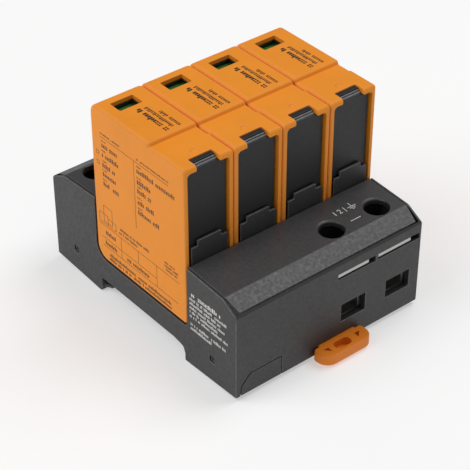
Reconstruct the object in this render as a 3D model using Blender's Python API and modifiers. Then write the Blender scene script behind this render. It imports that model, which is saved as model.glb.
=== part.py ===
"""DIN rail surge arrester: a black base with two terminal towers and four plug-in modules.

X runs along the rail, Y from the earth terminals (front) to the line terminals (rear), Z away
from the rail. The design frame starts at the base's front left corner; one empty carries it,
so that the object's own origin lies under the middle of its footprint.
"""
import math

import bmesh
import bpy
from mathutils import Matrix

MM = 0.001

# Overall sizes
POLES = 4
POLE_PITCH = 18.0 * MM
WIDTH = POLES * POLE_PITCH
LENGTH = 90.0 * MM
TOWER = 22.5 * MM
HEIGHT = 69.0 * MM
RAIL_SEAT = 5.5 * MM
RAIL_WIDTH = 35.0 * MM
RAIL_ROOM = 2.3 * MM

# Clearances
GAP = 0.3 * MM
FLAG_GAP = 0.4 * MM
HEAD_GAP = 0.4 * MM

# Tower profile
TOE_RISE = 1.2 * MM
FACE_TOP = 31.0 * MM
SHOULDER_IN = 6.2 * MM
SHOULDER_TOP = 34.3 * MM
SLOPE_TOP = 35.2 * MM
FACE_ROUND = 1.0 * MM
BASE_EDGE = 0.45 * MM
FOOT_WALL = 24.0 * MM

# Module bay
SOCKET_BLOCK_TOP = 22.0 * MM
PLATE_BOTTOM = 14.0 * MM
PLATE = 1.75 * MM
PLATE_REAR_ROUND = 5.0 * MM
PLATE_FRONT_ROUND = 1.5 * MM
MODULE_SIDE_GAP = 0.15 * MM

# Rail hook at the rear and the curve in front of the rail
HOOK_IN = 66.0 * MM
HOOK_LENGTH = 3.8 * MM
HOOK_TIP = 0.6 * MM
HOOK_ROOT = 2.2 * MM
HOOK_INSET = 1.5 * MM
RECESS_CURVE = 5.0 * MM

# Terminal covers
COVER = 1.8 * MM
COVER_SIDE_WALL = 0.8 * MM
COVER_FRONT_WALL = 0.7 * MM
COVER_FRONT_DROP = 1.4 * MM
COVER_KNEE = 0.4 * MM
HOLE_RIM = 0.35 * MM
END_TAPER = 0.95 * MM
END_GROOVE = 2.6 * MM

# Clamps
TERMINAL_IN = 10.8 * MM
CHAMBER_WIDTH = 11.2 * MM
CHAMBER_FRONT = 2.0 * MM
CHAMBER_REAR = 16.4 * MM
CHAMBER_FLOOR = 7.5 * MM
ENTRY_WIDTH = 9.6 * MM
ENTRY_HEIGHT = 6.3 * MM
ENTRY_BOTTOM = 9.0 * MM
CAGE_WALL = 1.0 * MM
CAGE_TRAVEL = 4.0 * MM
CAGE_SIDE_GAP = 0.4 * MM
CAGE_HEIGHT = 11.2 * MM
TONGUE_Z = 15.7 * MM
TONGUE = 1.5 * MM
TONGUE_WIDTH = 6.0 * MM
TONGUE_TIP = 1.4 * MM
SCREW_SHANK = 5.0 * MM
SCREW_HEAD = 7.0 * MM
SCREW_HEAD_HEIGHT = 3.6 * MM
SCREW_RECESS = 2.2 * MM

# Plug contacts
CONTACT_IN = 9.0 * MM
BLADE = 1.0 * MM
BLADE_WIDTH = 7.4 * MM
BLADE_TIP = 10.4 * MM
FORK = 0.8 * MM
FORK_LENGTH = 8.0 * MM
FORK_BOTTOM = 9.0 * MM
FORK_TOP = 21.2 * MM
NECK_WIDTH = 3.6 * MM

# Earth busbar and its slot; sideways places count from the earth clamps' middles
SLOT_REACH = 6.6 * MM
SLOT_BOTTOM = 25.5 * MM
SLOT_HEIGHT = 2.0 * MM
SLOT_DEPTH = 5.4 * MM
SLOT_END_WALL = 0.9 * MM
STRIP = 1.2 * MM
STRIP_RISE = 0.4 * MM
STRIP_REACH = 4.8 * MM
STRIP_GAP_LEFT = 3.2 * MM
STRIP_GAP_RIGHT = 0.6 * MM
RIB_LEFT = 0.8 * MM
RIB_RIGHT = 0.3 * MM
COMB_IN = 17.0 * MM
COMB_WIDTH = 3.6 * MM
COMB_SIDE = 5.5 * MM
COMB_ROOT = 0.6 * MM

# Module cap
CAP_TOP = 2.7 * MM
CAP_REAR_WALL = 1.6 * MM
CAP_EDGE = 1.1 * MM
CAP_REAR_ROUND = 3.0 * MM
CAP_FRONT_ROUND = 1.2 * MM
STEP_IN = 16.5 * MM
STEP_DROP = 1.2 * MM
CREASE_IN = 10.6 * MM
CREASE_RISE = 0.4 * MM
OPENING_ROUND = 1.2 * MM
NOTCH_WIDTH = 8.2 * MM
NOTCH_DEPTH = 4.1 * MM
DIMPLE_IN = 6.6 * MM
DIMPLE = 2.5 * MM
WINDOW_WIDTH = 8.0 * MM
WINDOW_SIDE = 0.6 * MM
WINDOW_LENGTH = 5.0 * MM
WINDOW_REAR = 4.6 * MM
WINDOW_LIP = 1.4 * MM

# Module insert and what it carries
PANEL_RECESS = 1.1 * MM
INSERT_WALL = 1.4 * MM
INSERT_FRONT_WALL = 3.6 * MM
INSERT_FLOOR = 2.0 * MM
TAB = 1.8 * MM
TAB_RISE = 1.4 * MM
FLAG = 1.5 * MM
FLAG_SHELF = 1.0 * MM
FLAG_TRAVEL = 6.5 * MM
ROOF_BORDER = 0.7 * MM
BLADE_TOP = 30.7 * MM
VARISTOR_FRONT_GAP = 1.0 * MM
VARISTOR_REAR_GAP = 2.4 * MM
VARISTOR_ROUND = 3.0 * MM

# Latch tongue in front of each module
LATCH = 0.8 * MM
LATCH_SIDE_GAP = 0.5 * MM
LATCH_SHOULDER = 40.9 * MM
LATCH_TOP = 42.7 * MM
LATCH_STEP = 2.25 * MM

# Rail foot
FOOT_CENTRE = 38.5 * MM
FOOT_WIDTH = 19.0 * MM
FOOT_REACH = 6.3 * MM
FOOT_BOTTOM = 0.6 * MM
FOOT_HEIGHT = 3.7 * MM
SHANK_WIDTH = 14.0 * MM
FLANGE = 1.2 * MM
FLANGE_HEIGHT = 1.4 * MM
FLANGE_FRONT = 11.6 * MM
FLANGE_REAR = 25.5 * MM
FOOT_TRAVEL = 5.0 * MM
NOSE_LENGTH = 1.9 * MM
STOP_WIDTH = 12.0 * MM
STOP_LENGTH = 2.4 * MM
STOP_BELOW_SEAT = 0.1 * MM

# Blank in the signal port, lower left of the front face
BLANK_LEFT = 2.1 * MM
BLANK_WIDTH = 15.0 * MM
BLANK_BOTTOM = 1.5 * MM
BLANK_TOP = 8.1 * MM
BLANK = 1.3 * MM
PLUG_LENGTH = 4.0 * MM
PLUG_WIDTH = 10.0 * MM
PLUG_BOTTOM = 2.6 * MM
PLUG_TOP = 6.4 * MM

# Small catch windows on the tower sides
CATCH_IN = 11.0 * MM
CATCH_Z = 9.0 * MM
CATCH_SIZE = 2.4 * MM
CATCH_DEPTH = 0.8 * MM

# Values that follow from those above
BAY_FRONT = TOWER
BAY_REAR = LENGTH - TOWER
CAP_FRONT = BAY_FRONT + GAP
CAP_REAR = BAY_REAR - GAP
CAP_LEFT = MODULE_SIDE_GAP
CAP_RIGHT = POLE_PITCH - MODULE_SIDE_GAP
CAVITY_LEFT = CAP_LEFT + PLATE
CAVITY_RIGHT = CAP_RIGHT - PLATE
CAVITY_TOP = HEIGHT - CAP_TOP
CAVITY_REAR = CAP_REAR - CAP_REAR_WALL
INSERT_LEFT = CAVITY_LEFT + GAP
INSERT_RIGHT = CAVITY_RIGHT - GAP
INSERT_FRONT = CAP_FRONT + PANEL_RECESS
INSERT_REAR = CAVITY_REAR - GAP
INSERT_BOTTOM = SOCKET_BLOCK_TOP + GAP
INSERT_TOP = CAVITY_TOP - GAP
TAB_TOP = INSERT_TOP + TAB_RISE
POCKET_LEFT = INSERT_LEFT + INSERT_WALL
POCKET_RIGHT = INSERT_RIGHT - INSERT_WALL
POCKET_FRONT = INSERT_FRONT + INSERT_FRONT_WALL
POCKET_REAR = INSERT_REAR - INSERT_WALL
MODULE_MIDDLE = POLE_PITCH / 2
NOTCH_LEFT = MODULE_MIDDLE - NOTCH_WIDTH / 2
WINDOW_LEFT = MODULE_MIDDLE - WINDOW_SIDE - WINDOW_WIDTH / 2
LATCH_SIDE = CAVITY_LEFT + LATCH_SIDE_GAP
FRONT_CONTACT = BAY_FRONT + CONTACT_IN
REAR_CONTACT = BAY_REAR - CONTACT_IN
FORK_HALF = BLADE / 2 + GAP + FORK
PORT_HALF = FORK_HALF + GAP + 0.4 * MM
CAGE_WIDTH = CHAMBER_WIDTH - 2 * CAGE_SIDE_GAP
CAGE_BOTTOM = CHAMBER_FLOOR + GAP
SCREW_TIP = TONGUE_Z + TONGUE + GAP
SCREW_HOLE = SCREW_HEAD + 2 * HEAD_GAP
HEAD_BOTTOM = CAGE_BOTTOM + CAGE_HEIGHT + CAGE_TRAVEL + 0.4 * MM
RAIL_FRONT = HOOK_IN - GAP - RAIL_WIDTH
STOP_REAR = RAIL_FRONT - GAP
STOP_TOP = RAIL_SEAT - STOP_BELOW_SEAT
FLAG_TOP = INSERT_TOP - GAP / 3
FLAG_ROOM_TOP = FLAG_TOP + GAP
ROOF_TOP = HEIGHT - WINDOW_LIP - GAP
SHELF_Z = FLAG_TOP - FLAG - GAP
PE_POLES = (2, 3)
LINE_NAMES = ("l1", "l2", "l3", "n")
ARC_STEPS = 4
ROUND_STEPS = 24


def material(name, colour, roughness, metallic=0.0):
    made = bpy.data.materials.new(name)
    made.use_nodes = True
    shader = made.node_tree.nodes["Principled BSDF"]
    shader.inputs["Base Color"].default_value = (*colour, 1.0)
    shader.inputs["Roughness"].default_value = roughness
    shader.inputs["Metallic"].default_value = metallic
    made.diffuse_color = (*colour, 1.0)
    return made


def rounded(corners, steps=ARC_STEPS):
    """Points of a closed outline; each corner is (u, v) or (u, v, radius)."""
    points = []
    count = len(corners)
    for index, corner in enumerate(corners):
        radius = corner[2] if len(corner) > 2 else 0.0
        here = complex(corner[0], corner[1])
        before = complex(*corners[index - 1][:2])
        after = complex(*corners[(index + 1) % count][:2])
        if radius <= 0.0:
            points.append((here.real, here.imag))
            continue
        way_in = (before - here) / abs(before - here)
        way_out = (after - here) / abs(after - here)
        turn = way_out * way_in.conjugate()
        half = abs(math.atan2(turn.imag, turn.real)) / 2
        centre_way = (way_in + way_out) / abs(way_in + way_out)
        centre = here + centre_way * (radius / math.sin(half))
        start = here + way_in * (radius / math.tan(half)) - centre
        sweep = math.pi - 2 * half
        sign = -1.0 if turn.imag > 0 else 1.0
        number = max(1, round(steps * sweep / (math.pi / 2)))
        for step in range(number + 1):
            angle = sign * sweep * step / number
            point = centre + start * complex(math.cos(angle), math.sin(angle))
            points.append((point.real, point.imag))
    return points


def rectangle(low_u, high_u, low_v, high_v, radius=0.0):
    corners = ((low_u, low_v), (high_u, low_v), (high_u, high_v), (low_u, high_v))
    return rounded([(u, v, radius) for u, v in corners])


def link(obj, collection, parent=None):
    collection.objects.link(obj)
    obj.parent = parent
    return obj


def close_ends(mesh):
    """Weld the walls drawn by a curve and close each end with one flat face."""
    shape = bmesh.new()
    shape.from_mesh(mesh)
    bmesh.ops.remove_doubles(shape, verts=shape.verts, dist=0.0001)
    bmesh.ops.holes_fill(shape, edges=[edge for edge in shape.edges if edge.is_boundary])
    bmesh.ops.recalc_face_normals(shape, faces=shape.faces)
    shape.to_mesh(mesh)
    shape.free()


PLANES = {
    "YZ": Matrix(((0, 0, 1, 0), (1, 0, 0, 0), (0, 1, 0, 0), (0, 0, 0, 1))),
    "XZ": Matrix(((1, 0, 0, 0), (0, 0, -1, 0), (0, 1, 0, 0), (0, 0, 0, 1))),
    "XY": Matrix.Identity(4),
}


def outline(name, points, plane, start, end):
    """A flat outline in a plane, extruded from start to end along the third axis.

    It is drawn in millimetres, where a small curve is exact, and then scaled.
    """
    curve = bpy.data.curves.new(name, "CURVE")
    curve.dimensions = "2D"
    curve.fill_mode = "NONE"
    curve.extrude = abs(end - start) / MM / 2
    spline = curve.splines.new("POLY")
    spline.points.add(len(points) - 1)
    for point, (u, v) in zip(spline.points, points):
        point.co = (u / MM, v / MM, 0.0, 1.0)
    spline.use_cyclic_u = True
    drawn = bpy.data.objects.new(name, curve)
    bpy.context.scene.collection.objects.link(drawn)
    graph = bpy.context.evaluated_depsgraph_get()
    mesh = bpy.data.meshes.new_from_object(drawn.evaluated_get(graph))
    bpy.data.objects.remove(drawn)
    bpy.data.curves.remove(curve)
    close_ends(mesh)
    mesh.transform(PLANES[plane] @ Matrix.Scale(MM, 4))
    middle = (start + end) / 2
    shift = {"YZ": (middle, 0, 0), "XZ": (0, middle, 0), "XY": (0, 0, middle)}[plane]
    mesh.transform(Matrix.Translation(shift))
    return bpy.data.objects.new(name, mesh)


def box(name, x_range, y_range, z_range):
    shape = bmesh.new()
    ranges = (x_range, y_range, z_range)
    size = [high - low for low, high in ranges]
    bmesh.ops.create_cube(shape, size=1.0, matrix=Matrix.Diagonal((*size, 1.0)))
    mesh = bpy.data.meshes.new(name)
    shape.to_mesh(mesh)
    shape.free()
    made = bpy.data.objects.new(name, mesh)
    made.location = [(low + high) / 2 for low, high in ranges]
    return made


def post(name, radius, centre, z_range, top_radius=None):
    """An upright cylinder, or a cone where top_radius differs."""
    shape = bmesh.new()
    low, high = z_range
    bmesh.ops.create_cone(shape, cap_ends=True, segments=ROUND_STEPS, radius1=radius,
                          radius2=radius if top_radius is None else top_radius,
                          depth=high - low)
    mesh = bpy.data.meshes.new(name)
    shape.to_mesh(mesh)
    shape.free()
    made = bpy.data.objects.new(name, mesh)
    made.location = (centre[0], centre[1], (low + high) / 2)
    return made


def turned(name, profile):
    """A turned shape: its profile, top to bottom on +X, with a Screw modifier."""
    mesh = bpy.data.meshes.new(name)
    edges = [(index, index + 1) for index in range(len(profile) - 1)]
    mesh.from_pydata([(radius, 0.0, z) for radius, z in profile], edges, [])
    made = bpy.data.objects.new(name, mesh)
    turning = made.modifiers.new("turning", "SCREW")
    turning.steps = ROUND_STEPS
    turning.render_steps = ROUND_STEPS
    turning.use_merge_vertices = True
    turning.merge_threshold = 0.00001
    return made


def bevel(obj, width, segments=2, angle=60.0):
    edge = obj.modifiers.new("edge", "BEVEL")
    edge.width = width
    edge.segments = segments
    edge.limit_method = "ANGLE"
    edge.angle_limit = math.radians(angle)
    edge.use_clamp_overlap = False
    return obj


def boolean(obj, other, operation):
    step = obj.modifiers.new(other.name, "BOOLEAN")
    step.operation = operation
    step.solver = "EXACT"
    step.object = other
    other.display_type = "WIRE"
    other.hide_render = True


def baked(obj, helpers):
    """The finished mesh of a repeated piece; its helpers have done their work."""
    bpy.context.view_layer.update()
    graph = bpy.context.evaluated_depsgraph_get()
    mesh = bpy.data.meshes.new_from_object(obj.evaluated_get(graph))
    mesh.name = obj.name
    for used in [obj, *helpers]:
        bpy.data.objects.remove(used)
    mesh.shade_smooth()
    mesh.set_sharp_from_angle(angle=math.radians(32))
    return mesh


def combine(obj, cuts=(), joins=()):
    """Bake one repeated shape from a body, the shapes joined to it and those cut from it."""
    scene = bpy.context.scene.collection
    for each in (obj, *joins, *cuts):
        scene.objects.link(each)
    for other in joins:
        boolean(obj, other, "UNION")
    for other in cuts:
        boolean(obj, other, "DIFFERENCE")
    return baked(obj, [*joins, *cuts])


def base_profile():
    """Side view of the base: two towers, the bay between them and the rail recess below."""
    front = [(0.0, FACE_TOP, FACE_ROUND), (SHOULDER_IN, SHOULDER_TOP, 2 * FACE_ROUND)]
    rear = [(LENGTH - corner[0], *corner[1:]) for corner in reversed(front)]
    underside = [
        (LENGTH, TOE_RISE, FACE_ROUND / 2),
        (HOOK_IN + 0.6 * MM, 0.0, FACE_ROUND / 2),
        (HOOK_IN, 0.6 * MM),
        (HOOK_IN, RAIL_SEAT),
        (FOOT_WALL + RECESS_CURVE, RAIL_SEAT),
        (FOOT_WALL + 0.8 * MM, RAIL_SEAT - 0.7 * MM, 1.0 * MM),
        (FOOT_WALL, RAIL_SEAT - 2.7 * MM, 1.0 * MM),
        (FOOT_WALL, 0.0, FACE_ROUND / 2),
    ]
    bay = [
        (BAY_FRONT, SLOPE_TOP),
        (BAY_FRONT, SOCKET_BLOCK_TOP),
        (BAY_REAR, SOCKET_BLOCK_TOP),
        (BAY_REAR, SLOPE_TOP),
    ]
    return rounded([(0.0, TOE_RISE, FACE_ROUND / 2)] + front + bay + rear + underside)


def hook():
    """Lip under the rail's rear edge, set in from both side faces."""
    lip = RAIL_SEAT - RAIL_ROOM
    root = HOOK_IN + 1.2 * MM
    shape = [
        (root, 0.5 * MM), (root, HOOK_ROOT), (HOOK_IN, HOOK_ROOT),
        (HOOK_IN - HOOK_LENGTH + 0.3 * MM, lip), (HOOK_IN - HOOK_LENGTH, lip - HOOK_TIP),
    ]
    return outline("hook", shape, "YZ", HOOK_INSET, WIDTH - HOOK_INSET)


def plate_profile(grow=0.0):
    """Lower part of a module's side plate, or the bay slot that it drops into."""
    top = HEIGHT + 5 * MM
    return rounded([
        (CAP_FRONT - grow, top),
        (CAP_FRONT - grow, PLATE_BOTTOM - grow, PLATE_FRONT_ROUND + grow),
        (CAP_REAR + grow, PLATE_BOTTOM - grow, PLATE_REAR_ROUND + grow),
        (CAP_REAR + grow, top),
    ])


def terminal_middles(poles):
    return [(pole + 0.5) * POLE_PITCH for pole in poles]


def facing_rear(obj):
    """Turn a piece made for the front tower so that it serves the rear one."""
    turn = Matrix.Rotation(math.pi, 4, "Z")
    turn.translation = (WIDTH, LENGTH, 0.0)
    obj.matrix_basis = turn @ obj.matrix_basis
    return obj


def clamp_cuts(tag, x):
    """Chamber, wire entry and tongue passage of one clamp in the front tower."""
    half = CHAMBER_WIDTH / 2
    entry = ENTRY_WIDTH / 2
    tongue = TONGUE_WIDTH / 2 + GAP
    return [
        box(tag + "_chamber", (x - half, x + half), (CHAMBER_FRONT, CHAMBER_REAR),
            (CHAMBER_FLOOR, HEIGHT)),
        box(tag + "_entry", (x - entry, x + entry), (-GAP, CHAMBER_FRONT + GAP),
            (ENTRY_BOTTOM, ENTRY_BOTTOM + ENTRY_HEIGHT)),
        box(tag + "_passage", (x - tongue, x + tongue), (CHAMBER_REAR - GAP, COMB_IN + GAP),
            (TONGUE_Z - GAP, TONGUE_Z + TONGUE + GAP)),
    ]


def cover_seat(tag):
    """Room for a terminal cover: all above the ledge, inside the front and side walls."""
    ledge = [
        (COVER_FRONT_WALL, FACE_TOP - COVER_FRONT_DROP - GAP),
        (SHOULDER_IN + COVER_KNEE, SHOULDER_TOP - COVER - GAP),
        (BAY_FRONT + GAP, SLOPE_TOP - COVER - GAP),
        (BAY_FRONT + GAP, HEIGHT),
        (COVER_FRONT_WALL, HEIGHT),
    ]
    return outline(tag, ledge, "YZ", COVER_SIDE_WALL, WIDTH - COVER_SIDE_WALL)


def end_grooves(tag):
    """Deep grooves beside the tapered shoulder ends of a terminal cover."""
    near = COVER_SIDE_WALL
    far = COVER_SIDE_WALL + GAP + END_TAPER
    span = (COVER_FRONT_WALL, SHOULDER_IN - GAP)
    depth = (FACE_TOP - END_GROOVE, HEIGHT)
    return [box(tag + "_left", (near, far), span, depth),
            box(tag + "_right", (WIDTH - far, WIDTH - near), span, depth)]


def latch_tongue(tag, x):
    """Stepped tongue in front of one module's panel, and its root on the tower's rear wall."""
    left = x + LATCH_SIDE
    right = x + POLE_PITCH - LATCH_SIDE
    shape = rounded([
        (left, SOCKET_BLOCK_TOP - GAP),
        (right, SOCKET_BLOCK_TOP - GAP),
        (right, LATCH_SHOULDER, 0.5 * MM),
        (right - LATCH_STEP, LATCH_SHOULDER),
        (right - LATCH_STEP, LATCH_TOP, 0.5 * MM),
        (left + LATCH_STEP, LATCH_TOP, 0.5 * MM),
        (left + LATCH_STEP, LATCH_SHOULDER),
        (left, LATCH_SHOULDER, 0.5 * MM),
    ], 2)
    root = box(tag + "_root", (left, right), (BAY_FRONT - GAP, CAP_FRONT + LATCH / 2),
               (SOCKET_BLOCK_TOP - GAP, SLOPE_TOP - COVER))
    return [outline(tag, shape, "XZ", CAP_FRONT, CAP_FRONT + LATCH), root]


def blank_outline(grow=0.0):
    left = BLANK_LEFT - grow
    right = BLANK_LEFT + BLANK_WIDTH + grow
    bottom = BLANK_BOTTOM if grow == 0.0 else -GAP
    top = BLANK_TOP + grow
    return rounded([
        (left, bottom),
        (right, bottom),
        (right, top, 0.4 * MM),
        (left + 3.4 * MM, top, 1.5 * MM),
        (left, top - 3.6 * MM, 1.5 * MM),
    ], 3)


def leg_sides():
    """Left and right of the busbar's leg, which stands between the two earth clamps."""
    first, last = terminal_middles(PE_POLES)
    return first + CHAMBER_WIDTH / 2 + GAP, last - CHAMBER_WIDTH / 2 - GAP


def comb_outline():
    """Earth comb from above: two clamp tongues in front, one neck to each module behind."""
    rear = COMB_IN + COMB_WIDTH
    tip = FRONT_CONTACT - FORK_LENGTH / 2 - GAP
    front_tip = CHAMBER_FRONT + TONGUE_TIP
    tongue = TONGUE_WIDTH / 2
    neck = NECK_WIDTH / 2
    leg_left, leg_right = leg_sides()
    fingers = [(x - tongue, x + tongue, front_tip) for x in terminal_middles(PE_POLES)]
    fingers.insert(1, (leg_left, leg_right, SLOT_DEPTH - GAP - STRIP))
    corners = [(COMB_SIDE, COMB_IN)]
    for left, right, front in fingers:
        corners += [(left, COMB_IN, COMB_ROOT), (left, front), (right, front),
                    (right, COMB_IN, COMB_ROOT)]
    corners += [(WIDTH - COMB_SIDE, COMB_IN), (WIDTH - COMB_SIDE, rear)]
    for x in reversed(terminal_middles(range(POLES))):
        corners += [(x + neck, rear, COMB_ROOT), (x + neck, tip), (x - neck, tip),
                    (x - neck, rear, COMB_ROOT)]
    corners.append((COMB_SIDE, rear))
    return rounded(corners, 2)


def fork_outline():
    """Spring fork seen along Y, with its two legs opening at the top."""
    inner = BLADE / 2 + GAP
    outer = inner + FORK
    return [
        (-outer, FORK_BOTTOM), (outer, FORK_BOTTOM), (outer, FORK_TOP),
        (outer - 0.3 * MM, FORK_TOP), (inner, FORK_TOP - 1.2 * MM),
        (inner, FORK_BOTTOM + FORK), (-inner, FORK_BOTTOM + FORK),
        (-inner, FORK_TOP - 1.2 * MM), (-outer + 0.3 * MM, FORK_TOP), (-outer, FORK_TOP),
    ]


def base_housing():
    body = outline("base_housing", base_profile(), "YZ", 0.0, WIDTH)
    bevel(body, BASE_EDGE, 2)
    cuts = []
    joins = []
    for border in range(POLES + 1):
        x = border * POLE_PITCH
        reach = MODULE_SIDE_GAP + PLATE + GAP
        cuts.append(outline("slot_%d" % border, plate_profile(GAP), "YZ", x - reach, x + reach))
    for pole in range(POLES):
        joins += latch_tongue("latch_%d" % pole, pole * POLE_PITCH)
    joins.append(hook())
    cuts.append(cover_seat("front_seat"))
    cuts.append(facing_rear(cover_seat("rear_seat")))
    cuts += end_grooves("front_groove")
    cuts += [facing_rear(each) for each in end_grooves("rear_groove")]
    for index, x in enumerate(terminal_middles(PE_POLES)):
        cuts += clamp_cuts("pe_%d" % index, x)
    for index, x in enumerate(terminal_middles(range(POLES))):
        cuts += [facing_rear(each) for each in clamp_cuts("line_%d" % index, x)]
    rear_passage = LENGTH - COMB_IN - GAP
    neck = NECK_WIDTH / 2 + GAP
    thick = (TONGUE_Z - GAP, TONGUE_Z + TONGUE + GAP)
    port = FORK_LENGTH / 2 + GAP
    for index, x in enumerate(terminal_middles(range(POLES))):
        depth = (FORK_BOTTOM - GAP, SOCKET_BLOCK_TOP + GAP)
        sides = (x - PORT_HALF, x + PORT_HALF)
        cuts.append(box("front_port_%d" % index, sides,
                        (FRONT_CONTACT - port, FRONT_CONTACT + port), depth))
        cuts.append(box("rear_port_%d" % index, sides,
                        (REAR_CONTACT - port, REAR_CONTACT + port), depth))
        cuts.append(box("front_neck_%d" % index, (x - neck, x + neck),
                        (COMB_IN + COMB_WIDTH, FRONT_CONTACT - port + GAP), thick))
        cuts.append(box("rear_neck_%d" % index, (x - neck, x + neck),
                        (REAR_CONTACT + port - GAP, rear_passage + GAP), thick))
    cuts.append(box("comb_room", (COMB_SIDE - GAP, WIDTH - COMB_SIDE + GAP),
                    (COMB_IN - GAP, COMB_IN + COMB_WIDTH + GAP), thick))
    first, last = terminal_middles(PE_POLES)
    half = CHAMBER_WIDTH / 2
    cuts.append(box("leg_room", (first + half - GAP, last - half + GAP),
                    (CHAMBER_FRONT + 0.6 * MM, COMB_IN), (TONGUE_Z - GAP, HEIGHT)))
    rib_left = (first + last) / 2 - RIB_LEFT
    rib_right = (first + last) / 2 + RIB_RIGHT
    left_slot = (first - SLOT_REACH, rib_left)
    right_slot = (rib_right, WIDTH - SLOT_END_WALL)
    tall = (SLOT_BOTTOM, SLOT_BOTTOM + SLOT_HEIGHT)
    cuts.append(box("slot_left", left_slot, (-GAP, SLOT_DEPTH), tall))
    cuts.append(box("slot_right", right_slot, (-GAP, SLOT_DEPTH), tall))
    cuts.append(box("slot_behind_rib", (rib_left - GAP, rib_right + GAP),
                    (CHAMBER_FRONT, SLOT_DEPTH), tall))
    cuts.append(outline("blank_seat", blank_outline(GAP), "XZ", -GAP, BLANK + GAP))
    middle = BLANK_LEFT + BLANK_WIDTH / 2
    plug = PLUG_WIDTH / 2 + GAP
    cuts.append(box("blank_room", (middle - plug, middle + plug),
                    (0.0, BLANK + PLUG_LENGTH + 2 * GAP), (PLUG_BOTTOM - GAP, PLUG_TOP + GAP)))
    cuts += foot_channel()
    for side, x in (("left", 0.0), ("right", WIDTH)):
        for end, y in (("front", CATCH_IN), ("rear", LENGTH - CATCH_IN)):
            reach = CATCH_SIZE / 2
            cuts.append(box("catch_%s_%s" % (side, end), (x - CATCH_DEPTH, x + CATCH_DEPTH),
                            (y - reach, y + reach), (CATCH_Z - reach, CATCH_Z + reach)))
    return body, joins, cuts


def foot_channel():
    """T-shaped guide for the rail foot, open to the recess and to the front face."""
    shank = SHANK_WIDTH / 2 + GAP
    wide = SHANK_WIDTH / 2 + FLANGE + GAP
    stop = STOP_WIDTH / 2 + GAP
    top = FOOT_BOTTOM + FOOT_HEIGHT
    groove_front = FLANGE_FRONT - FOOT_TRAVEL - GAP
    stop_front = STOP_REAR - STOP_LENGTH - FOOT_TRAVEL - GAP
    return [
        box("stop_room", (FOOT_CENTRE - stop, FOOT_CENTRE + stop),
            (stop_front, STOP_REAR + GAP), (top - GAP, STOP_TOP + GAP)),
        box("shank_room", (FOOT_CENTRE - shank, FOOT_CENTRE + shank),
            (-GAP, FOOT_WALL + 4 * MM), (-GAP, top + GAP)),
        box("flange_room", (FOOT_CENTRE - wide, FOOT_CENTRE + wide),
            (groove_front, FOOT_WALL + 4 * MM), (top - FLANGE_HEIGHT - GAP, top + GAP)),
    ]


def terminal_cover(name, middles):
    front = COVER_FRONT_WALL + GAP
    front_top = FACE_TOP + (SHOULDER_TOP - FACE_TOP) * front / SHOULDER_IN
    shape = rounded([
        (front, FACE_TOP - COVER_FRONT_DROP),
        (front, front_top),
        (SHOULDER_IN, SHOULDER_TOP, 2 * FACE_ROUND),
        (BAY_FRONT, SLOPE_TOP),
        (BAY_FRONT, SLOPE_TOP - COVER),
        (SHOULDER_IN + COVER_KNEE, SHOULDER_TOP - COVER),
    ])
    side = COVER_SIDE_WALL + GAP
    cover = outline(name, shape, "YZ", side, WIDTH - side)
    cuts = []
    beyond = GAP * (SHOULDER_IN - front) / END_TAPER
    for tag, edge, sign in (("left", side, 1), ("right", WIDTH - side, -1)):
        taper = [(edge - sign * GAP, SHOULDER_IN + beyond), (edge - sign * GAP, front - beyond),
                 (edge + sign * (END_TAPER + GAP), front - beyond)]
        cuts.append(outline("%s_taper_%s" % (name, tag), taper, "XY", FACE_TOP - COVER, HEIGHT))
    fall = (SLOPE_TOP - SHOULDER_TOP) / (BAY_FRONT - SHOULDER_IN)
    surface = SHOULDER_TOP + fall * (TERMINAL_IN - SHOULDER_IN)
    for index, x in enumerate(middles):
        radius = SCREW_HOLE / 2
        tag = "%s_%d" % (name, index)
        cuts.append(post(tag + "_hole", radius, (x, TERMINAL_IN), (FACE_TOP - 4 * MM, HEIGHT)))
        cuts.append(post(tag + "_rim", radius, (x, TERMINAL_IN),
                         (surface - HOLE_RIM, surface + HOLE_RIM), radius + 2 * HOLE_RIM))
    return cover, cuts


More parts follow.
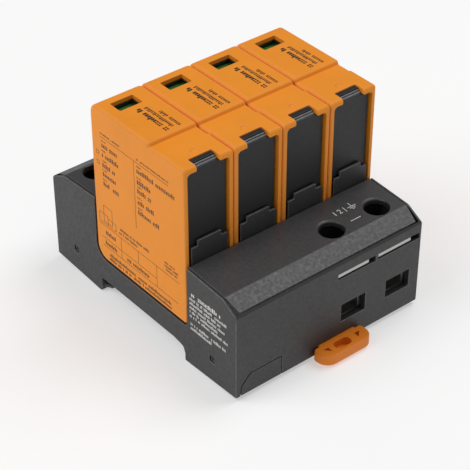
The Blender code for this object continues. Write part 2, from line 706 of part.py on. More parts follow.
def rail_foot():
    """Pull handle, shank with guide flanges and the nose that holds the rail's front edge."""
    top = FOOT_BOTTOM + FOOT_HEIGHT
    half = FOOT_WIDTH / 2
    handle = rounded([
        (-half, -GAP, 1.2 * MM),
        (-half, -FOOT_REACH, 4.2 * MM),
        (half, -FOOT_REACH, 3.2 * MM),
        (half, -GAP, 1.2 * MM),
    ], 6)
    grip = outline("rail_foot", handle, "XY", FOOT_BOTTOM, top)
    bevel(grip, 0.35 * MM, 2)
    tip = RAIL_FRONT + NOSE_LENGTH
    nose_top = RAIL_SEAT - RAIL_ROOM
    side = [
        (-1.0 * MM, FOOT_BOTTOM + 0.3 * MM),
        (tip - 1.6 * MM, FOOT_BOTTOM + 0.3 * MM),
        (tip, nose_top - 1.0 * MM),
        (tip, nose_top - 0.4 * MM),
        (STOP_REAR, nose_top),
        (STOP_REAR - STOP_LENGTH / 3, top),
        (-1.0 * MM, top),
    ]
    shank = outline("shank", side, "YZ", -SHANK_WIDTH / 2, SHANK_WIDTH / 2)
    stop = box("stop", (-STOP_WIDTH / 2, STOP_WIDTH / 2), (STOP_REAR - STOP_LENGTH, STOP_REAR),
               (nose_top - 0.5 * MM, STOP_TOP))
    flange_half = SHANK_WIDTH / 2 + FLANGE
    flanges = box("flanges", (-flange_half, flange_half), (FLANGE_FRONT, FLANGE_REAR),
                  (top - FLANGE_HEIGHT, top))
    middle = -FOOT_REACH / 2 - 0.2 * MM
    oval = rectangle(-3.4 * MM, 2.6 * MM, middle - 1.5 * MM, middle + 1.7 * MM, 1.4 * MM)
    grip_hole = outline("grip_hole", oval, "XY", FOOT_BOTTOM + 1.0 * MM, HEIGHT)
    slits = []
    for sign in (-1, 1):
        near = sign * 5.2 * MM
        far = sign * 7.2 * MM
        points = [(near, middle + 1.2 * MM), (far, middle + 1.2 * MM), (near, middle - 0.9 * MM)]
        slits.append(outline("slit_%d" % sign, points, "XY", FOOT_BOTTOM + 2.2 * MM, HEIGHT))
    return grip, [shank, flanges, stop], [grip_hole, *slits]


def earth_busbar():
    """Comb under the front tower, leg between the two clamps and strip in the front slot."""
    comb = outline("earth_busbar", comb_outline(), "XY", TONGUE_Z, TONGUE_Z + TONGUE)
    leg_left, leg_right = leg_sides()
    back = SLOT_DEPTH - GAP
    strip_z = SLOT_BOTTOM + STRIP_RISE
    inside = 0.1 * MM
    leg = box("leg", (leg_left + inside, leg_right - inside),
              (back - STRIP + inside, back - inside),
              (TONGUE_Z + TONGUE / 2, strip_z + STRIP / 2))
    near = 0.4 * MM
    first, last = terminal_middles(PE_POLES)
    gap_left = (first + last) / 2 - STRIP_GAP_LEFT
    gap_right = (first + last) / 2 + STRIP_GAP_RIGHT
    left = first - SLOT_REACH + GAP
    right = last + STRIP_REACH
    notch = CHAMBER_FRONT + 0.9 * MM
    strip_shape = [
        (left, near), (gap_left, near), (gap_left, notch), (gap_right, notch),
        (gap_right, near), (right, near), (right, back), (left, back),
    ]
    strip = outline("strip", strip_shape, "XY", strip_z, strip_z + STRIP)
    return comb, [leg, strip], []


def signal_blank():
    plate = outline("signal_port_blank", blank_outline(), "XZ", 0.0, BLANK)
    middle = BLANK_LEFT + BLANK_WIDTH / 2
    plug = box("plug", (middle - PLUG_WIDTH / 2, middle + PLUG_WIDTH / 2),
               (BLANK / 2, BLANK + PLUG_LENGTH), (PLUG_BOTTOM, PLUG_TOP))
    return plate, [plug], []


def screw_mesh():
    """Terminal screw about its own axis, with Z as in the design frame."""
    head = SCREW_HEAD / 2
    shank = SCREW_SHANK / 2
    top = HEAD_BOTTOM + SCREW_HEAD_HEIGHT
    body = turned("terminal_screw", [
        (0.0, top), (head - 0.4 * MM, top), (head, top - 0.4 * MM), (head, HEAD_BOTTOM),
        (shank, HEAD_BOTTOM), (shank, SCREW_TIP + 0.5 * MM), (shank - 0.5 * MM, SCREW_TIP),
        (0.0, SCREW_TIP),
    ])
    depth = (top - SCREW_RECESS, top + GAP)
    long = 2.5 * MM
    thin = 0.5 * MM
    across = box("across", (-long, long), (-thin, thin), depth)
    along = box("along", (-thin, thin), (-long, long), depth)
    return combine(body, [across, along])


def cage_mesh():
    """Box clamp: a bent frame open along Y, threaded for the screw in its top."""
    half = CAGE_WIDTH / 2
    top = CAGE_BOTTOM + CAGE_HEIGHT
    outside = rectangle(-half, half, CAGE_BOTTOM, top, 0.8 * MM)
    inside = rectangle(-half + CAGE_WALL, half - CAGE_WALL, CAGE_BOTTOM + CAGE_WALL,
                       top - 1.1 * MM)
    front = CHAMBER_FRONT + 2 * GAP - TERMINAL_IN
    rear = CHAMBER_REAR - 2 * GAP - TERMINAL_IN
    frame = outline("clamp_cage", outside, "XZ", front, rear)
    hollow = outline("hollow", inside, "XZ", front - GAP, rear + GAP)
    thread = post("thread", SCREW_SHANK / 2 + GAP, (0.0, 0.0), (top - 2 * MM, top + GAP))
    return combine(frame, [hollow, thread])


def earth_contact_mesh():
    fork = outline("earth_contact", fork_outline(), "XZ", -FORK_LENGTH / 2, FORK_LENGTH / 2)
    return combine(fork)


def line_contact_mesh():
    """Fork and clamp tongue of one line, stamped in one piece; Y from the fork's middle."""
    fork = outline("line_contact", fork_outline(), "XZ", -FORK_LENGTH / 2, FORK_LENGTH / 2)
    neck = NECK_WIDTH / 2
    wide = TONGUE_WIDTH / 2
    start = BLADE_WIDTH / 2 + GAP
    comb = LENGTH - COMB_IN - REAR_CONTACT
    end = LENGTH - CHAMBER_FRONT - TONGUE_TIP - REAR_CONTACT
    taper = wide - neck
    shape = [(-neck, start), (neck, start), (neck, comb), (wide, comb + taper), (wide, end),
             (-wide, end), (-wide, comb + taper), (-neck, comb)]
    tongue = outline("tongue", shape, "XY", TONGUE_Z, TONGUE_Z + TONGUE)
    return combine(fork, joins=[tongue])


def cap_profile():
    """Side view of a module: rounded back, label field, step, grip channel, rounded front."""
    step_y = CAP_FRONT + STEP_IN
    crease_y = CAP_FRONT + CREASE_IN
    low = HEIGHT - STEP_DROP
    lip = low + CREASE_RISE
    return rounded([
        (CAP_FRONT, PLATE_BOTTOM, PLATE_FRONT_ROUND),
        (CAP_REAR, PLATE_BOTTOM, PLATE_REAR_ROUND),
        (CAP_REAR, HEIGHT, CAP_REAR_ROUND),
        (step_y, HEIGHT, 0.5 * MM),
        (step_y - 1.0 * MM, low, 0.5 * MM),
        (crease_y + 0.8 * MM, low),
        (crease_y, lip),
        (CAP_FRONT, lip, CAP_FRONT_ROUND),
    ])


def flag_roof(tag, grow=0.0):
    """The insert's raised roof over the flag, below the window, or the room for it in the cap."""
    front = CAP_REAR - WINDOW_REAR - WINDOW_LENGTH - ROOF_BORDER
    return box(tag, (POCKET_LEFT - ROOF_BORDER - grow, POCKET_RIGHT + ROOF_BORDER + grow),
               (front - grow, POCKET_REAR + ROOF_BORDER + grow), (INSERT_TOP - GAP, ROOF_TOP + grow))


def cap_mesh():
    """Orange module cap: two side plates, top with status window, and rear wall."""
    cap = outline("module_cap", cap_profile(), "YZ", CAP_LEFT, CAP_RIGHT)
    bevel(cap, CAP_EDGE, 3)
    opening = rounded([
        (CAVITY_LEFT, 0.0),
        (CAVITY_RIGHT, 0.0),
        (CAVITY_RIGHT, CAVITY_TOP, OPENING_ROUND),
        (CAVITY_LEFT, CAVITY_TOP, OPENING_ROUND),
    ])
    cavity = outline("cavity", opening, "XZ", 0.0, CAVITY_REAR)
    below = box("below", (CAVITY_LEFT, CAVITY_RIGHT), (CAVITY_REAR - GAP, LENGTH),
                (0.0, INSERT_BOTTOM))
    notch_shape = rectangle(NOTCH_LEFT, NOTCH_LEFT + NOTCH_WIDTH, 0.0, CAP_FRONT + NOTCH_DEPTH,
                            0.4 * MM)
    notch = outline("notch", notch_shape, "XY", CAVITY_TOP - 2 * GAP, HEIGHT + GAP)
    rear = CAP_REAR - WINDOW_REAR
    window = box("window", (WINDOW_LEFT, WINDOW_LEFT + WINDOW_WIDTH),
                 (rear - WINDOW_LENGTH, rear), (CAVITY_TOP - GAP, HEIGHT + GAP))
    lip = HEIGHT - STEP_DROP + CREASE_RISE
    dimple = post("dimple", 0.6 * DIMPLE / 2, (MODULE_MIDDLE, CAP_FRONT + DIMPLE_IN),
                  (lip - 0.5 * MM, lip + 0.1 * MM), DIMPLE / 2)
    return combine(cap, [cavity, below, notch, window, dimple, flag_roof("roof_room", GAP)])


def insert_mesh():
    """Black module body behind the front panel, roofed at the window and open before it."""
    corner = OPENING_ROUND - GAP
    shape = rounded([
        (INSERT_LEFT, INSERT_BOTTOM),
        (INSERT_RIGHT, INSERT_BOTTOM),
        (INSERT_RIGHT, INSERT_TOP, corner),
        (INSERT_LEFT, INSERT_TOP, corner),
    ])
    body = outline("module_insert", shape, "XZ", INSERT_FRONT, INSERT_REAR)
    left = NOTCH_LEFT + GAP
    right = NOTCH_LEFT + NOTCH_WIDTH - GAP
    rise = [
        (INSERT_FRONT, INSERT_TOP - 3 * MM),
        (INSERT_FRONT + TAB, INSERT_TOP - 3 * MM),
        (INSERT_FRONT + TAB, TAB_TOP),
        (INSERT_FRONT + TAB - 0.4 * MM, TAB_TOP),
        (INSERT_FRONT, TAB_TOP - 0.8 * MM),
    ]
    tab = outline("tab", rise, "YZ", left, right)
    pocket = box("pocket", (POCKET_LEFT + FLAG_SHELF, POCKET_RIGHT - FLAG_SHELF),
                 (POCKET_FRONT, POCKET_REAR), (INSERT_BOTTOM + INSERT_FLOOR, FLAG_ROOM_TOP))
    shelf_front = flag_rear() - flag_length() - FLAG_TRAVEL - GAP
    shelf = box("shelf", (POCKET_LEFT, POCKET_RIGHT), (shelf_front, POCKET_REAR),
                (SHELF_Z, FLAG_ROOM_TOP))
    window_rear = CAP_REAR - WINDOW_REAR
    sight = box("sight", (WINDOW_LEFT, WINDOW_LEFT + WINDOW_WIDTH),
                (window_rear - WINDOW_LENGTH, window_rear), (FLAG_TOP, HEIGHT))
    cuts = [pocket, shelf, sight]
    for index, y in enumerate((FRONT_CONTACT, REAR_CONTACT)):
        half = BLADE / 2 + GAP
        wide = BLADE_WIDTH / 2 + GAP
        cuts.append(box("blade_%d" % index, (MODULE_MIDDLE - half, MODULE_MIDDLE + half),
                        (y - wide, y + wide), (0.0, INSERT_BOTTOM + INSERT_FLOOR + GAP)))
    return combine(body, cuts, [tab, flag_roof("flag_roof")])


def flag_length():
    return WINDOW_LENGTH + 2 * 0.6 * MM


def flag_rear():
    return CAP_REAR - WINDOW_REAR + 0.6 * MM


def flag_mesh():
    """Status flag behind the window, about its own centre."""
    half = (POCKET_RIGHT - POCKET_LEFT) / 2 - FLAG_GAP
    length = flag_length() / 2
    shape = rectangle(-half, half, -length, length, 0.5 * MM)
    plate = outline("module_flag", shape, "XY", -FLAG / 2, FLAG / 2)
    return combine(plate)


def varistor_mesh():
    """Coated varistor block that fills the insert above the blades."""
    left = POCKET_LEFT + FLAG_SHELF + GAP
    right = POCKET_RIGHT - FLAG_SHELF - GAP
    shape = rectangle(POCKET_FRONT + VARISTOR_FRONT_GAP, POCKET_REAR - VARISTOR_REAR_GAP,
                      BLADE_TOP + GAP, SHELF_Z - GAP, VARISTOR_ROUND)
    block = outline("module_varistor", shape, "YZ", left, right)
    bevel(block, 0.8 * MM, 2)
    return combine(block)


def blade_mesh():
    """Plug blade about its own middle line, tapered at the tip."""
    half = BLADE_WIDTH / 2
    shape = [
        (-half + 0.8 * MM, BLADE_TIP), (half - 0.8 * MM, BLADE_TIP), (half, BLADE_TIP + 1.2 * MM),
        (half, BLADE_TOP), (-half, BLADE_TOP), (-half, BLADE_TIP + 1.2 * MM),
    ]
    return combine(outline("module_blade", shape, "YZ", -BLADE / 2, BLADE / 2))


def main():
    for obj in list(bpy.data.objects):
        bpy.data.objects.remove(obj)

    parts = bpy.data.collections.new("din_rail_surge_arrester")
    cutters = bpy.data.collections.new("construction")
    bpy.context.scene.collection.children.link(parts)
    bpy.context.scene.collection.children.link(cutters)

    black = material("black_housing", (0.036, 0.036, 0.037), 0.52)
    panel = material("black_insert", (0.018, 0.018, 0.019), 0.48)
    orange = material("orange_cap", (0.83, 0.29, 0.035), 0.45)
    steel = material("zinc_plated_steel", (0.62, 0.62, 0.60), 0.35, 1.0)
    tinned = material("tinned_copper", (0.74, 0.72, 0.68), 0.30, 1.0)
    green = material("green_flag", (0.03, 0.20, 0.03), 0.5)
    coating = material("varistor_coating", (0.02, 0.06, 0.25), 0.5)

    frame = link(bpy.data.objects.new("design_frame", None), parts)
    frame.location = (-WIDTH / 2, -(LENGTH - FOOT_REACH) / 2, 0.0)

    def keep(obj, finish):
        obj.data.materials.clear()
        obj.data.materials.append(finish)
        return link(obj, parts, frame)

    def keep_cut(pieces, finish):
        body, joins, cuts = pieces
        for other in joins:
            boolean(body, link(other, cutters, frame), "UNION")
        for other in cuts:
            boolean(body, link(other, cutters, frame), "DIFFERENCE")
        return keep(body, finish)

    def copy_of(mesh, name, finish, location, parent=frame, turn=0.0):
        made = bpy.data.objects.new(name, mesh)
        if not mesh.materials:
            mesh.materials.append(finish)
        made.location = location
        made.rotation_euler = (0.0, 0.0, turn)
        return link(made, parts, parent)

    # Base, its covers and the blank
    keep_cut(base_housing(), black)
    cover, cuts = terminal_cover("front_terminal_cover", terminal_middles(PE_POLES))
    keep_cut((cover, [], cuts), black)
    cover, cuts = terminal_cover("rear_terminal_cover", terminal_middles(range(POLES)))
    turned_cuts = [facing_rear(each) for each in cuts]
    keep_cut((facing_rear(cover), [], turned_cuts), black)
    keep_cut(signal_blank(), black)

    # Rail foot, its origin on its own middle line
    grip, joins, cuts = rail_foot()
    for each in (grip, *joins, *cuts):
        each.location.x += FOOT_CENTRE
    keep_cut((grip, joins, cuts), orange)

    # Contacts
    keep_cut(earth_busbar(), tinned)
    earth_fork = earth_contact_mesh()
    line_fork = line_contact_mesh()
    for pole, x in enumerate(terminal_middles(range(POLES))):
        copy_of(earth_fork, "earth_contact_%d" % (pole + 1), tinned, (x, FRONT_CONTACT, 0.0))
        copy_of(line_fork, "line_contact_%s" % LINE_NAMES[pole], tinned, (x, REAR_CONTACT, 0.0))

    # Clamps: screw and cage share the screw's axis
    screw = screw_mesh()
    cage = cage_mesh()
    clamps = [("pe_%d" % (index + 1), x, TERMINAL_IN, 0.0)
              for index, x in enumerate(terminal_middles(PE_POLES))]
    clamps += [(LINE_NAMES[pole], x, LENGTH - TERMINAL_IN, math.pi)
               for pole, x in enumerate(terminal_middles(range(POLES)))]
    for index, (name, x, y, turn) in enumerate(clamps):
        copy_of(screw, "terminal_screw_" + name, steel, (x, y, 0.0), turn=0.5 * index)
        copy_of(cage, "clamp_cage_" + name, steel, (x, y, 0.0), turn=turn)

    # Plug-in modules
    cap = cap_mesh()
    insert = insert_mesh()
    flag = flag_mesh()
    varistor = varistor_mesh()
    blade = blade_mesh()
    for pole in range(POLES):
        name = "module_%d" % (pole + 1)
        seat = link(bpy.data.objects.new(name + "_seat", None), parts, frame)
        seat.location = (pole * POLE_PITCH, 0.0, 0.0)
        copy_of(cap, name + "_cap", orange, (0.0, 0.0, 0.0), seat)
        copy_of(insert, name + "_insert", panel, (0.0, 0.0, 0.0), seat)
        copy_of(varistor, name + "_varistor", coating, (0.0, 0.0, 0.0), seat)
        flag_place = (MODULE_MIDDLE, flag_rear() - flag_length() / 2, FLAG_TOP - FLAG / 2)
        copy_of(flag, name + "_flag", green, flag_place, seat)
        copy_of(blade, name + "_blade_front", tinned, (MODULE_MIDDLE, FRONT_CONTACT, 0.0), seat)
        copy_of(blade, name + "_blade_rear", tinned, (MODULE_MIDDLE, REAR_CONTACT, 0.0), seat)


main()
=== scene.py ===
"""Looks of a DIN rail surge arrester: base, covers, rail foot, clamps and four plug-in modules.

Laid out as an add-on and run as a script. Shapes are drawn in millimetres in the design frame,
whose origin is the base's lower front left corner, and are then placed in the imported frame.
X runs along the rail, Y from the earth terminals to the line terminals, Z away from the rail.
"""
import math
from functools import cache

import bmesh
import bpy
from mathutils import Matrix, Vector


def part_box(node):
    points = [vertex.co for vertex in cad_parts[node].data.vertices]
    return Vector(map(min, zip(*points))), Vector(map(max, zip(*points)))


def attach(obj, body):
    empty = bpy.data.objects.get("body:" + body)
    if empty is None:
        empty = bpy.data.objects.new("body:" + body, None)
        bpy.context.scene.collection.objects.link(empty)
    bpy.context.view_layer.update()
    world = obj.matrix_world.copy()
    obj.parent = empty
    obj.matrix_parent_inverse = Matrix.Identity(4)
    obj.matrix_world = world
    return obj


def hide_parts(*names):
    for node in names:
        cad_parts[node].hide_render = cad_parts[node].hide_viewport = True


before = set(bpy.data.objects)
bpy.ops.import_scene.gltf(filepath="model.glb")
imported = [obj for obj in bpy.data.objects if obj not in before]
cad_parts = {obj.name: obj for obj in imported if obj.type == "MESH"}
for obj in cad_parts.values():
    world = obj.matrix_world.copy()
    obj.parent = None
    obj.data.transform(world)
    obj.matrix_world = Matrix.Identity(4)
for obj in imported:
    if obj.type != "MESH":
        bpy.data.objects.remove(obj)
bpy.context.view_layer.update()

bl_info = {
    "name": "DIN rail surge arrester",
    "version": (1, 0, 0),
    "blender": (4, 5, 0),
    "location": "3D view > Sidebar > Arrester",
    "description": "Moulded plastic, metal, print and stage for a four-module surge arrester",
    "category": "Object",
}

MM = 0.001
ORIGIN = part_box("base_housing")[0]
TO_FRAME = Matrix.Translation(ORIGIN) @ Matrix.Scale(MM, 4)
POLES = 4
PITCH = 18.0
LENGTH = 90.0
GAP = 0.3
CLAMPS = ("pe_1", "pe_2", "l1", "l2", "l3", "n")
LINES = CLAMPS[2:]

# Meshes: what counts as one flat face, as a sharp edge and as one vertex, and how far a
# cut reaches past what it cuts
FLAT = math.cos(math.radians(0.5))
SHARP = math.radians(50.0)
MERGE = 0.0005
BEYOND = 1.0

# Towers and their covers
FACE_TOP = 31.0
SHOULDER_IN = 6.2
SHOULDER_TOP = 34.3
SLOPE_END = 22.5
SLOPE_TOP = 35.2
COVER = 1.8
COVER_KNEE = 0.4
SHOULDER_ROUND = 2.0
END_TAPER = 0.95
HOLE_IN = 10.8
HOLE = 3.9
HOLE_RIM = ((0.0, -0.5), (0.16, -0.22), (0.5, 0.02), (2.0, 0.9))

# Module cap
CAP_WALL = 1.45
CAP_CEILING = 2.7
CAP_REAR_WALL = 1.6
CAP_FRONT_ROUND = 1.2
CAP_REAR_ROUND = 3.0
PLATE_FRONT_ROUND = 1.5
PLATE_REAR_ROUND = 5.0
FRONT_SHARE = 0.5
STEP_IN = 16.5
STEP_DROP = 1.2
STEP_ROUND = 1.15
STEP_RUN = 0.6
STEP_FOOT_ROUND = 0.2
CREASE_IN = 10.6
CREASE_RISE = 0.4
CREASE_RUN = 0.8
OPENING_ROUND = 1.2
NOTCH = (4.9, 13.1)
NOTCH_DEPTH = 4.1
NOTCH_ROUND = 0.4
WINDOW = (4.4, 12.4)
WINDOW_LENGTH = 5.0
WINDOW_REAR = 4.6
WINDOW_LIP = 1.4
WINDOW_ROUND = 0.35
ROOF_BORDER = 0.7
ROOF_INSET = 0.4
SOCKET_TOP = 22.3
DIMPLE_IN = 6.6
DIMPLE = 1.25
DIMPLE_BOWL = ((0.0, -0.5), (0.6, -0.46), (0.85, -0.3), (1.0, 0.1))

# Grip tab of the inserts
TAB = (5.2, 12.8)
TAB_SLOPE = (1.4, 0.8)
TAB_GAP = 0.2
RIBS = 2
RIB_RADIUS = 0.24
RIB_START = 0.32
RIB_PITCH = 0.48
RIB_RISE = 0.02

# Terminal screws
HEAD = 3.5
SHANK = 2.5
HEAD_HEIGHT = 3.6
HEAD_RIM = ((-0.6, 0.0), (-0.25, -0.12), (0.0, -0.45))
HEAD_CHAMFER = 0.2
TIP_CHAMFER = 0.5
THREAD_DEPTH = 0.3
THREAD_RIDGE = 0.24
THREAD_STAND = 0.06
RECESS = 2.2
RECESS_ARM = 2.5
RECESS_HALF = 0.5
SCREW_TURN = 0.5
STEEL_EDGE = 0.1
SCREW_EDGE = 0.06

# Materials: sizes of their patterns in metres, and shares of their colours
FLOW = 0.014
COARSER = 3.2
BRUSHING = 0.00035
PATCHES = 0.004
PITS = 0.00012
THIN_INK = 0.0006
DIP_GRAIN = 0.0009
# Share of white mixed into rounded edges as a painted highlight
PAINTED_HIGHLIGHT = 0.13
FLECK = 3.2
# How many times lighter than the panel the grip ribs are painted, a painted sheen
RIB_SHEEN = 9
STAIN = 0.15

# Print: shares of a mark's cell, the cell's share of the height, and line widths
STEM, SHORT_STEM, DASH, DASH_HIGH = 1.0, 0.7, 0.80, 0.28
DASH_MIDDLES = (0.14, 0.60)
MARKS_KEPT = 0.86
CELL = 0.54
PLAIN, BOLD, BASE_BOLD = 0.60, 0.78, 0.66
SPACE_SEED = 500
TYPE_SIZE = 1.37
RULE, BOX_RULE, TICK_RULE, SIGN_RULE, LINK_RULE = 0.13, 0.14, 0.12, 0.24, 0.26

# Print on the caps' tops: each row's x, length, height, seed and weight
TOP_ROWS_START = 41.0
TOP_ROWS = ((8.6, 14.2, 1.8, 11, BOLD), (11.0, 13.6, 1.3, 12, PLAIN),
            (13.0, 9.4, 1.3, 13, PLAIN))

# Rating print: rows as y, z, length, height and seed, values as y, z and length, rules as
# two points (y, z), and boxes as their spans in y and in z
HEAD_ROWS = ((62.7, 61.0, 9.8, 0.6, 21), (45.2, 60.9, 15.4, 0.6, 22))
HEAD_RULES = (((62.5, 59.7), (30.0, 59.7)), ((46.1, 59.7), (46.1, 35.9)))
VALUE_ROWS = ((62.0, 57.0, 8.6), (62.0, 53.6, 8.2), (62.0, 50.0, 6.4), (62.0, 46.8, 6.6),
              (62.0, 43.4, 7.8), (44.9, 57.0, 18.6), (44.9, 53.1, 6.5), (44.9, 50.0, 6.7),
              (44.9, 46.1, 7.8), (44.9, 42.5, 10.2))
VALUE_HEIGHT, VALUE_SEED = 1.5, 30
LABEL_RISE, LABEL_LENGTH, LABEL_HEIGHT, LABEL_SEED = 1.55, 2.2, 0.5, 50
TICK_ROWS = (53.6, 50.0)
TICK_SPAN, TICK_HALF = (64.6, 63.4), 0.55
FOOT_RULES = (((65.1, 27.6), (26.0, 27.6)), ((64.0, 22.9), (36.7, 22.9)),
              ((63.5, 19.8), (26.6, 19.8)), ((54.2, 27.6), (54.2, 19.8)),
              ((45.7, 27.6), (45.7, 22.9)), ((36.7, 27.6), (36.7, 19.8)))
HOUSE_BOXES = (((62.6, 58.4), (29.2, 35.0)), ((64.9, 60.6), (28.4, 31.8)),
               ((60.6, 56.6), (28.4, 31.0)))
FOOT_ROWS = ((55.1, 30.7, 15.0, 0.9, 70), (55.1, 29.2, 9.6, 0.9, 71),
             (32.8, 31.6, 5.0, 0.7, 72), (32.8, 30.4, 6.4, 0.8, 73),
             (32.2, 29.2, 5.4, 0.8, 74), (62.2, 25.2, 5.2, 1.4, 75),
             (62.6, 21.3, 6.0, 1.4, 76), (51.6, 21.3, 11.8, 1.4, 77),
             (60.6, 17.6, 30.6, 1.15, 78), (60.9, 16.0, 31.0, 1.15, 79))

# Print on the base: rows as y, z, length, height, seed and weight; then the earth sign
BASE_ROWS = (
    (21.1, 27.4, 14.2, 1.5, 81, BASE_BOLD), (21.1, 25.5, 16.9, 1.0, 82, PLAIN),
    (21.1, 23.95, 14.2, 1.0, 83, PLAIN), (21.1, 22.4, 16.6, 1.0, 84, PLAIN),
    (21.1, 20.85, 13.4, 1.0, 85, PLAIN), (21.1, 19.3, 17.4, 1.0, 86, PLAIN),
    (20.8, 16.4, 16.2, 1.05, 90, PLAIN), (20.8, 14.8, 9.8, 1.05, 91, PLAIN))
SIGN_ROW = 15.6
NUMERALS = ((50.6, "1"), (52.6, "2"))
NUMERAL_HEIGHT = 2.0
BAR_X, SIGN_X = 54.5, 57.2
BAR_ENDS = ((0, -1.0), (0, 1.0))
EARTH_SIGN = (((0, 0.0), (0, 1.7)), ((-1.5, 0.0), (1.5, 0.0)), ((-0.95, -0.6), (0.95, -0.6)),
              ((-0.4, -1.2), (0.4, -1.2)))
LINK_MARK = (54.2, 10.4)
LINK_ENDS = ((-1.8, 0), (1.8, 0))

# Stage: sizes in metres, power in watts; the camera's focal length and picture in pixels
FLOOR_HALF = 3.0
FLOOR_DROP = 0.0002
FLOOR_TONES = (0.61, 0.63)
FLOOR_PATTERN = 0.05
FLOOR_GLOW = 0.42
SKY = 0.27
WHITE = (1.0, 1.0, 1.0, 1.0)
LIGHTS = (("key", (-0.90, 0.32, 1.0), 1.1, 8.2), ("overhead", (0.50, -0.12, 1.05), 0.8, 5.4))
LIGHTS_AIM = (0.0, 0.0, 0.03)
CAMERA_TURN = math.radians(39.26)
CAMERA_FALL = math.radians(36.79)
CAMERA_AIM = (36.0, 45.0, 30.0)
CAMERA_SIDE, CAMERA_UP = 0.32, -10.35
FOCAL_LENGTH = 1642.0
PICTURE = 470.0
FILM = 36.0


def reach(node):
    """Lowest and highest corner of a CAD node in design millimetres."""
    return [(Vector(corner) - ORIGIN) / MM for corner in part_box(node)]


# Settings

class ArresterColours(bpy.types.PropertyGroup):
    housing: bpy.props.FloatVectorProperty(
        name="Housing", description="Black plastic of the base and its covers",
        subtype="COLOR", size=3, min=0, max=1, default=(0.027, 0.027, 0.028))
    panel: bpy.props.FloatVectorProperty(
        name="Panels", description="Black plastic of the module inserts",
        subtype="COLOR", size=3, min=0, max=1, default=(0.013, 0.013, 0.014))
    cap: bpy.props.FloatVectorProperty(
        name="Caps", description="Orange plastic of the module caps",
        subtype="COLOR", size=3, min=0, max=1, default=(0.88, 0.29, 0.018))
    foot: bpy.props.FloatVectorProperty(
        name="Rail foot", description="Orange plastic of the rail foot",
        subtype="COLOR", size=3, min=0, max=1, default=(0.80, 0.22, 0.010))
    flag: bpy.props.FloatVectorProperty(
        name="Flags", description="Green of the status flags",
        subtype="COLOR", size=3, min=0, max=1, default=(0.030, 0.150, 0.018))
    coating: bpy.props.FloatVectorProperty(
        name="Varistors", description="Coating of the varistor blocks",
        subtype="COLOR", size=3, min=0, max=1, default=(0.02, 0.06, 0.25))
    dark_ink: bpy.props.FloatVectorProperty(
        name="Dark ink", description="Print on the orange caps",
        subtype="COLOR", size=3, min=0, max=1, default=(0.020, 0.012, 0.006))
    light_ink: bpy.props.FloatVectorProperty(
        name="Light ink", description="Print on the black base",
        subtype="COLOR", size=3, min=0, max=1, default=(0.72, 0.72, 0.70))


class ArresterSizes(bpy.types.PropertyGroup):
    base_edge: bpy.props.FloatProperty(
        name="Base edges", description="Rounding of the base's sharp edges",
        default=0.20 * MM, min=0.02 * MM, max=0.3 * MM, unit="LENGTH")
    cap_edge: bpy.props.FloatProperty(
        name="Cap edges", description="Rounding of a cap's long outer edges",
        default=1.1 * MM, min=0.3 * MM, max=1.4 * MM, unit="LENGTH")
    cut_edge: bpy.props.FloatProperty(
        name="Cut edges", description="Rounding of the openings in the caps",
        default=0.25 * MM, min=0.05 * MM, max=0.3 * MM, unit="LENGTH")
    fine_edge: bpy.props.FloatProperty(
        name="Fine edges", description="Rounding of small moulded and stamped pieces",
        default=0.12 * MM, min=0.02 * MM, max=0.2 * MM, unit="LENGTH")
    ink: bpy.props.FloatProperty(
        name="Ink", description="How far print stands proud of its surface",
        default=0.02 * MM, min=0.005 * MM, max=0.1 * MM, unit="LENGTH")
    thread: bpy.props.FloatProperty(
        name="Thread pitch", description="Pitch of the terminal screws",
        default=0.8 * MM, min=0.4 * MM, max=1.2 * MM, unit="LENGTH")
    grain: bpy.props.FloatProperty(
        name="Grain", description="Size of the moulded plastic's grain",
        default=0.30 * MM, min=0.1 * MM, max=2 * MM, unit="LENGTH")
    distance: bpy.props.FloatProperty(
        name="Camera distance", description="From the camera to the object's middle",
        default=0.5, min=0.2, max=2.0, unit="LENGTH")


def colours():
    return bpy.context.scene.arrester_colours


def sizes():
    return bpy.context.scene.arrester_sizes


# Outlines and solids, in millimetres

def rounded(corners, steps=10):
    """Points of a closed outline; each corner is (u, v) or (u, v, radius)."""
    points = []
    count = len(corners)
    for index, corner in enumerate(corners):
        radius = corner[2] if len(corner) > 2 else 0.0
        here = complex(corner[0], corner[1])
        before = complex(*corners[index - 1][:2])
        after = complex(*corners[(index + 1) % count][:2])
        if radius <= 0.0:
            points.append((here.real, here.imag))
            continue
        way_in = (before - here) / abs(before - here)
        way_out = (after - here) / abs(after - here)
        turn = way_out * way_in.conjugate()
        half = abs(math.atan2(turn.imag, turn.real)) / 2
        middle = (way_in + way_out) / abs(way_in + way_out)
        centre = here + middle * (radius / math.sin(half))
        start = here + way_in * (radius / math.tan(half)) - centre
        sweep = math.pi - 2 * half
        sign = -1.0 if turn.imag > 0 else 1.0
        number = max(2, round(steps * sweep / (math.pi / 2)))
        for step in range(number + 1):
            angle = sign * sweep * step / number
            point = centre + start * complex(math.cos(angle), math.sin(angle))
            points.append((point.real, point.imag))
    return points


def rectangle(low_u, high_u, low_v, high_v, radius=0.0, steps=10):
    corners = ((low_u, low_v), (high_u, low_v), (high_u, high_v), (low_u, high_v))
    return rounded([(u, v, radius) for u, v in corners], steps)


def on_plane(plane, u, v, w):
    return {"YZ": (w, u, v), "XZ": (u, w, v), "XY": (u, v, w)}[plane]


def linked(name, data):
    """A new object in the scene."""
    made = bpy.data.objects.new(name, data)
    bpy.context.scene.collection.objects.link(made)
    return made


def from_bmesh(name, shape):
    mesh = bpy.data.meshes.new(name)
    shape.to_mesh(mesh)
    shape.free()
    return linked(name, mesh)


def outward(name, shape):
    """An object from a shape whose faces were added in any direction, and now face out."""
    bmesh.ops.recalc_face_normals(shape, faces=shape.faces)
    return from_bmesh(name, shape)


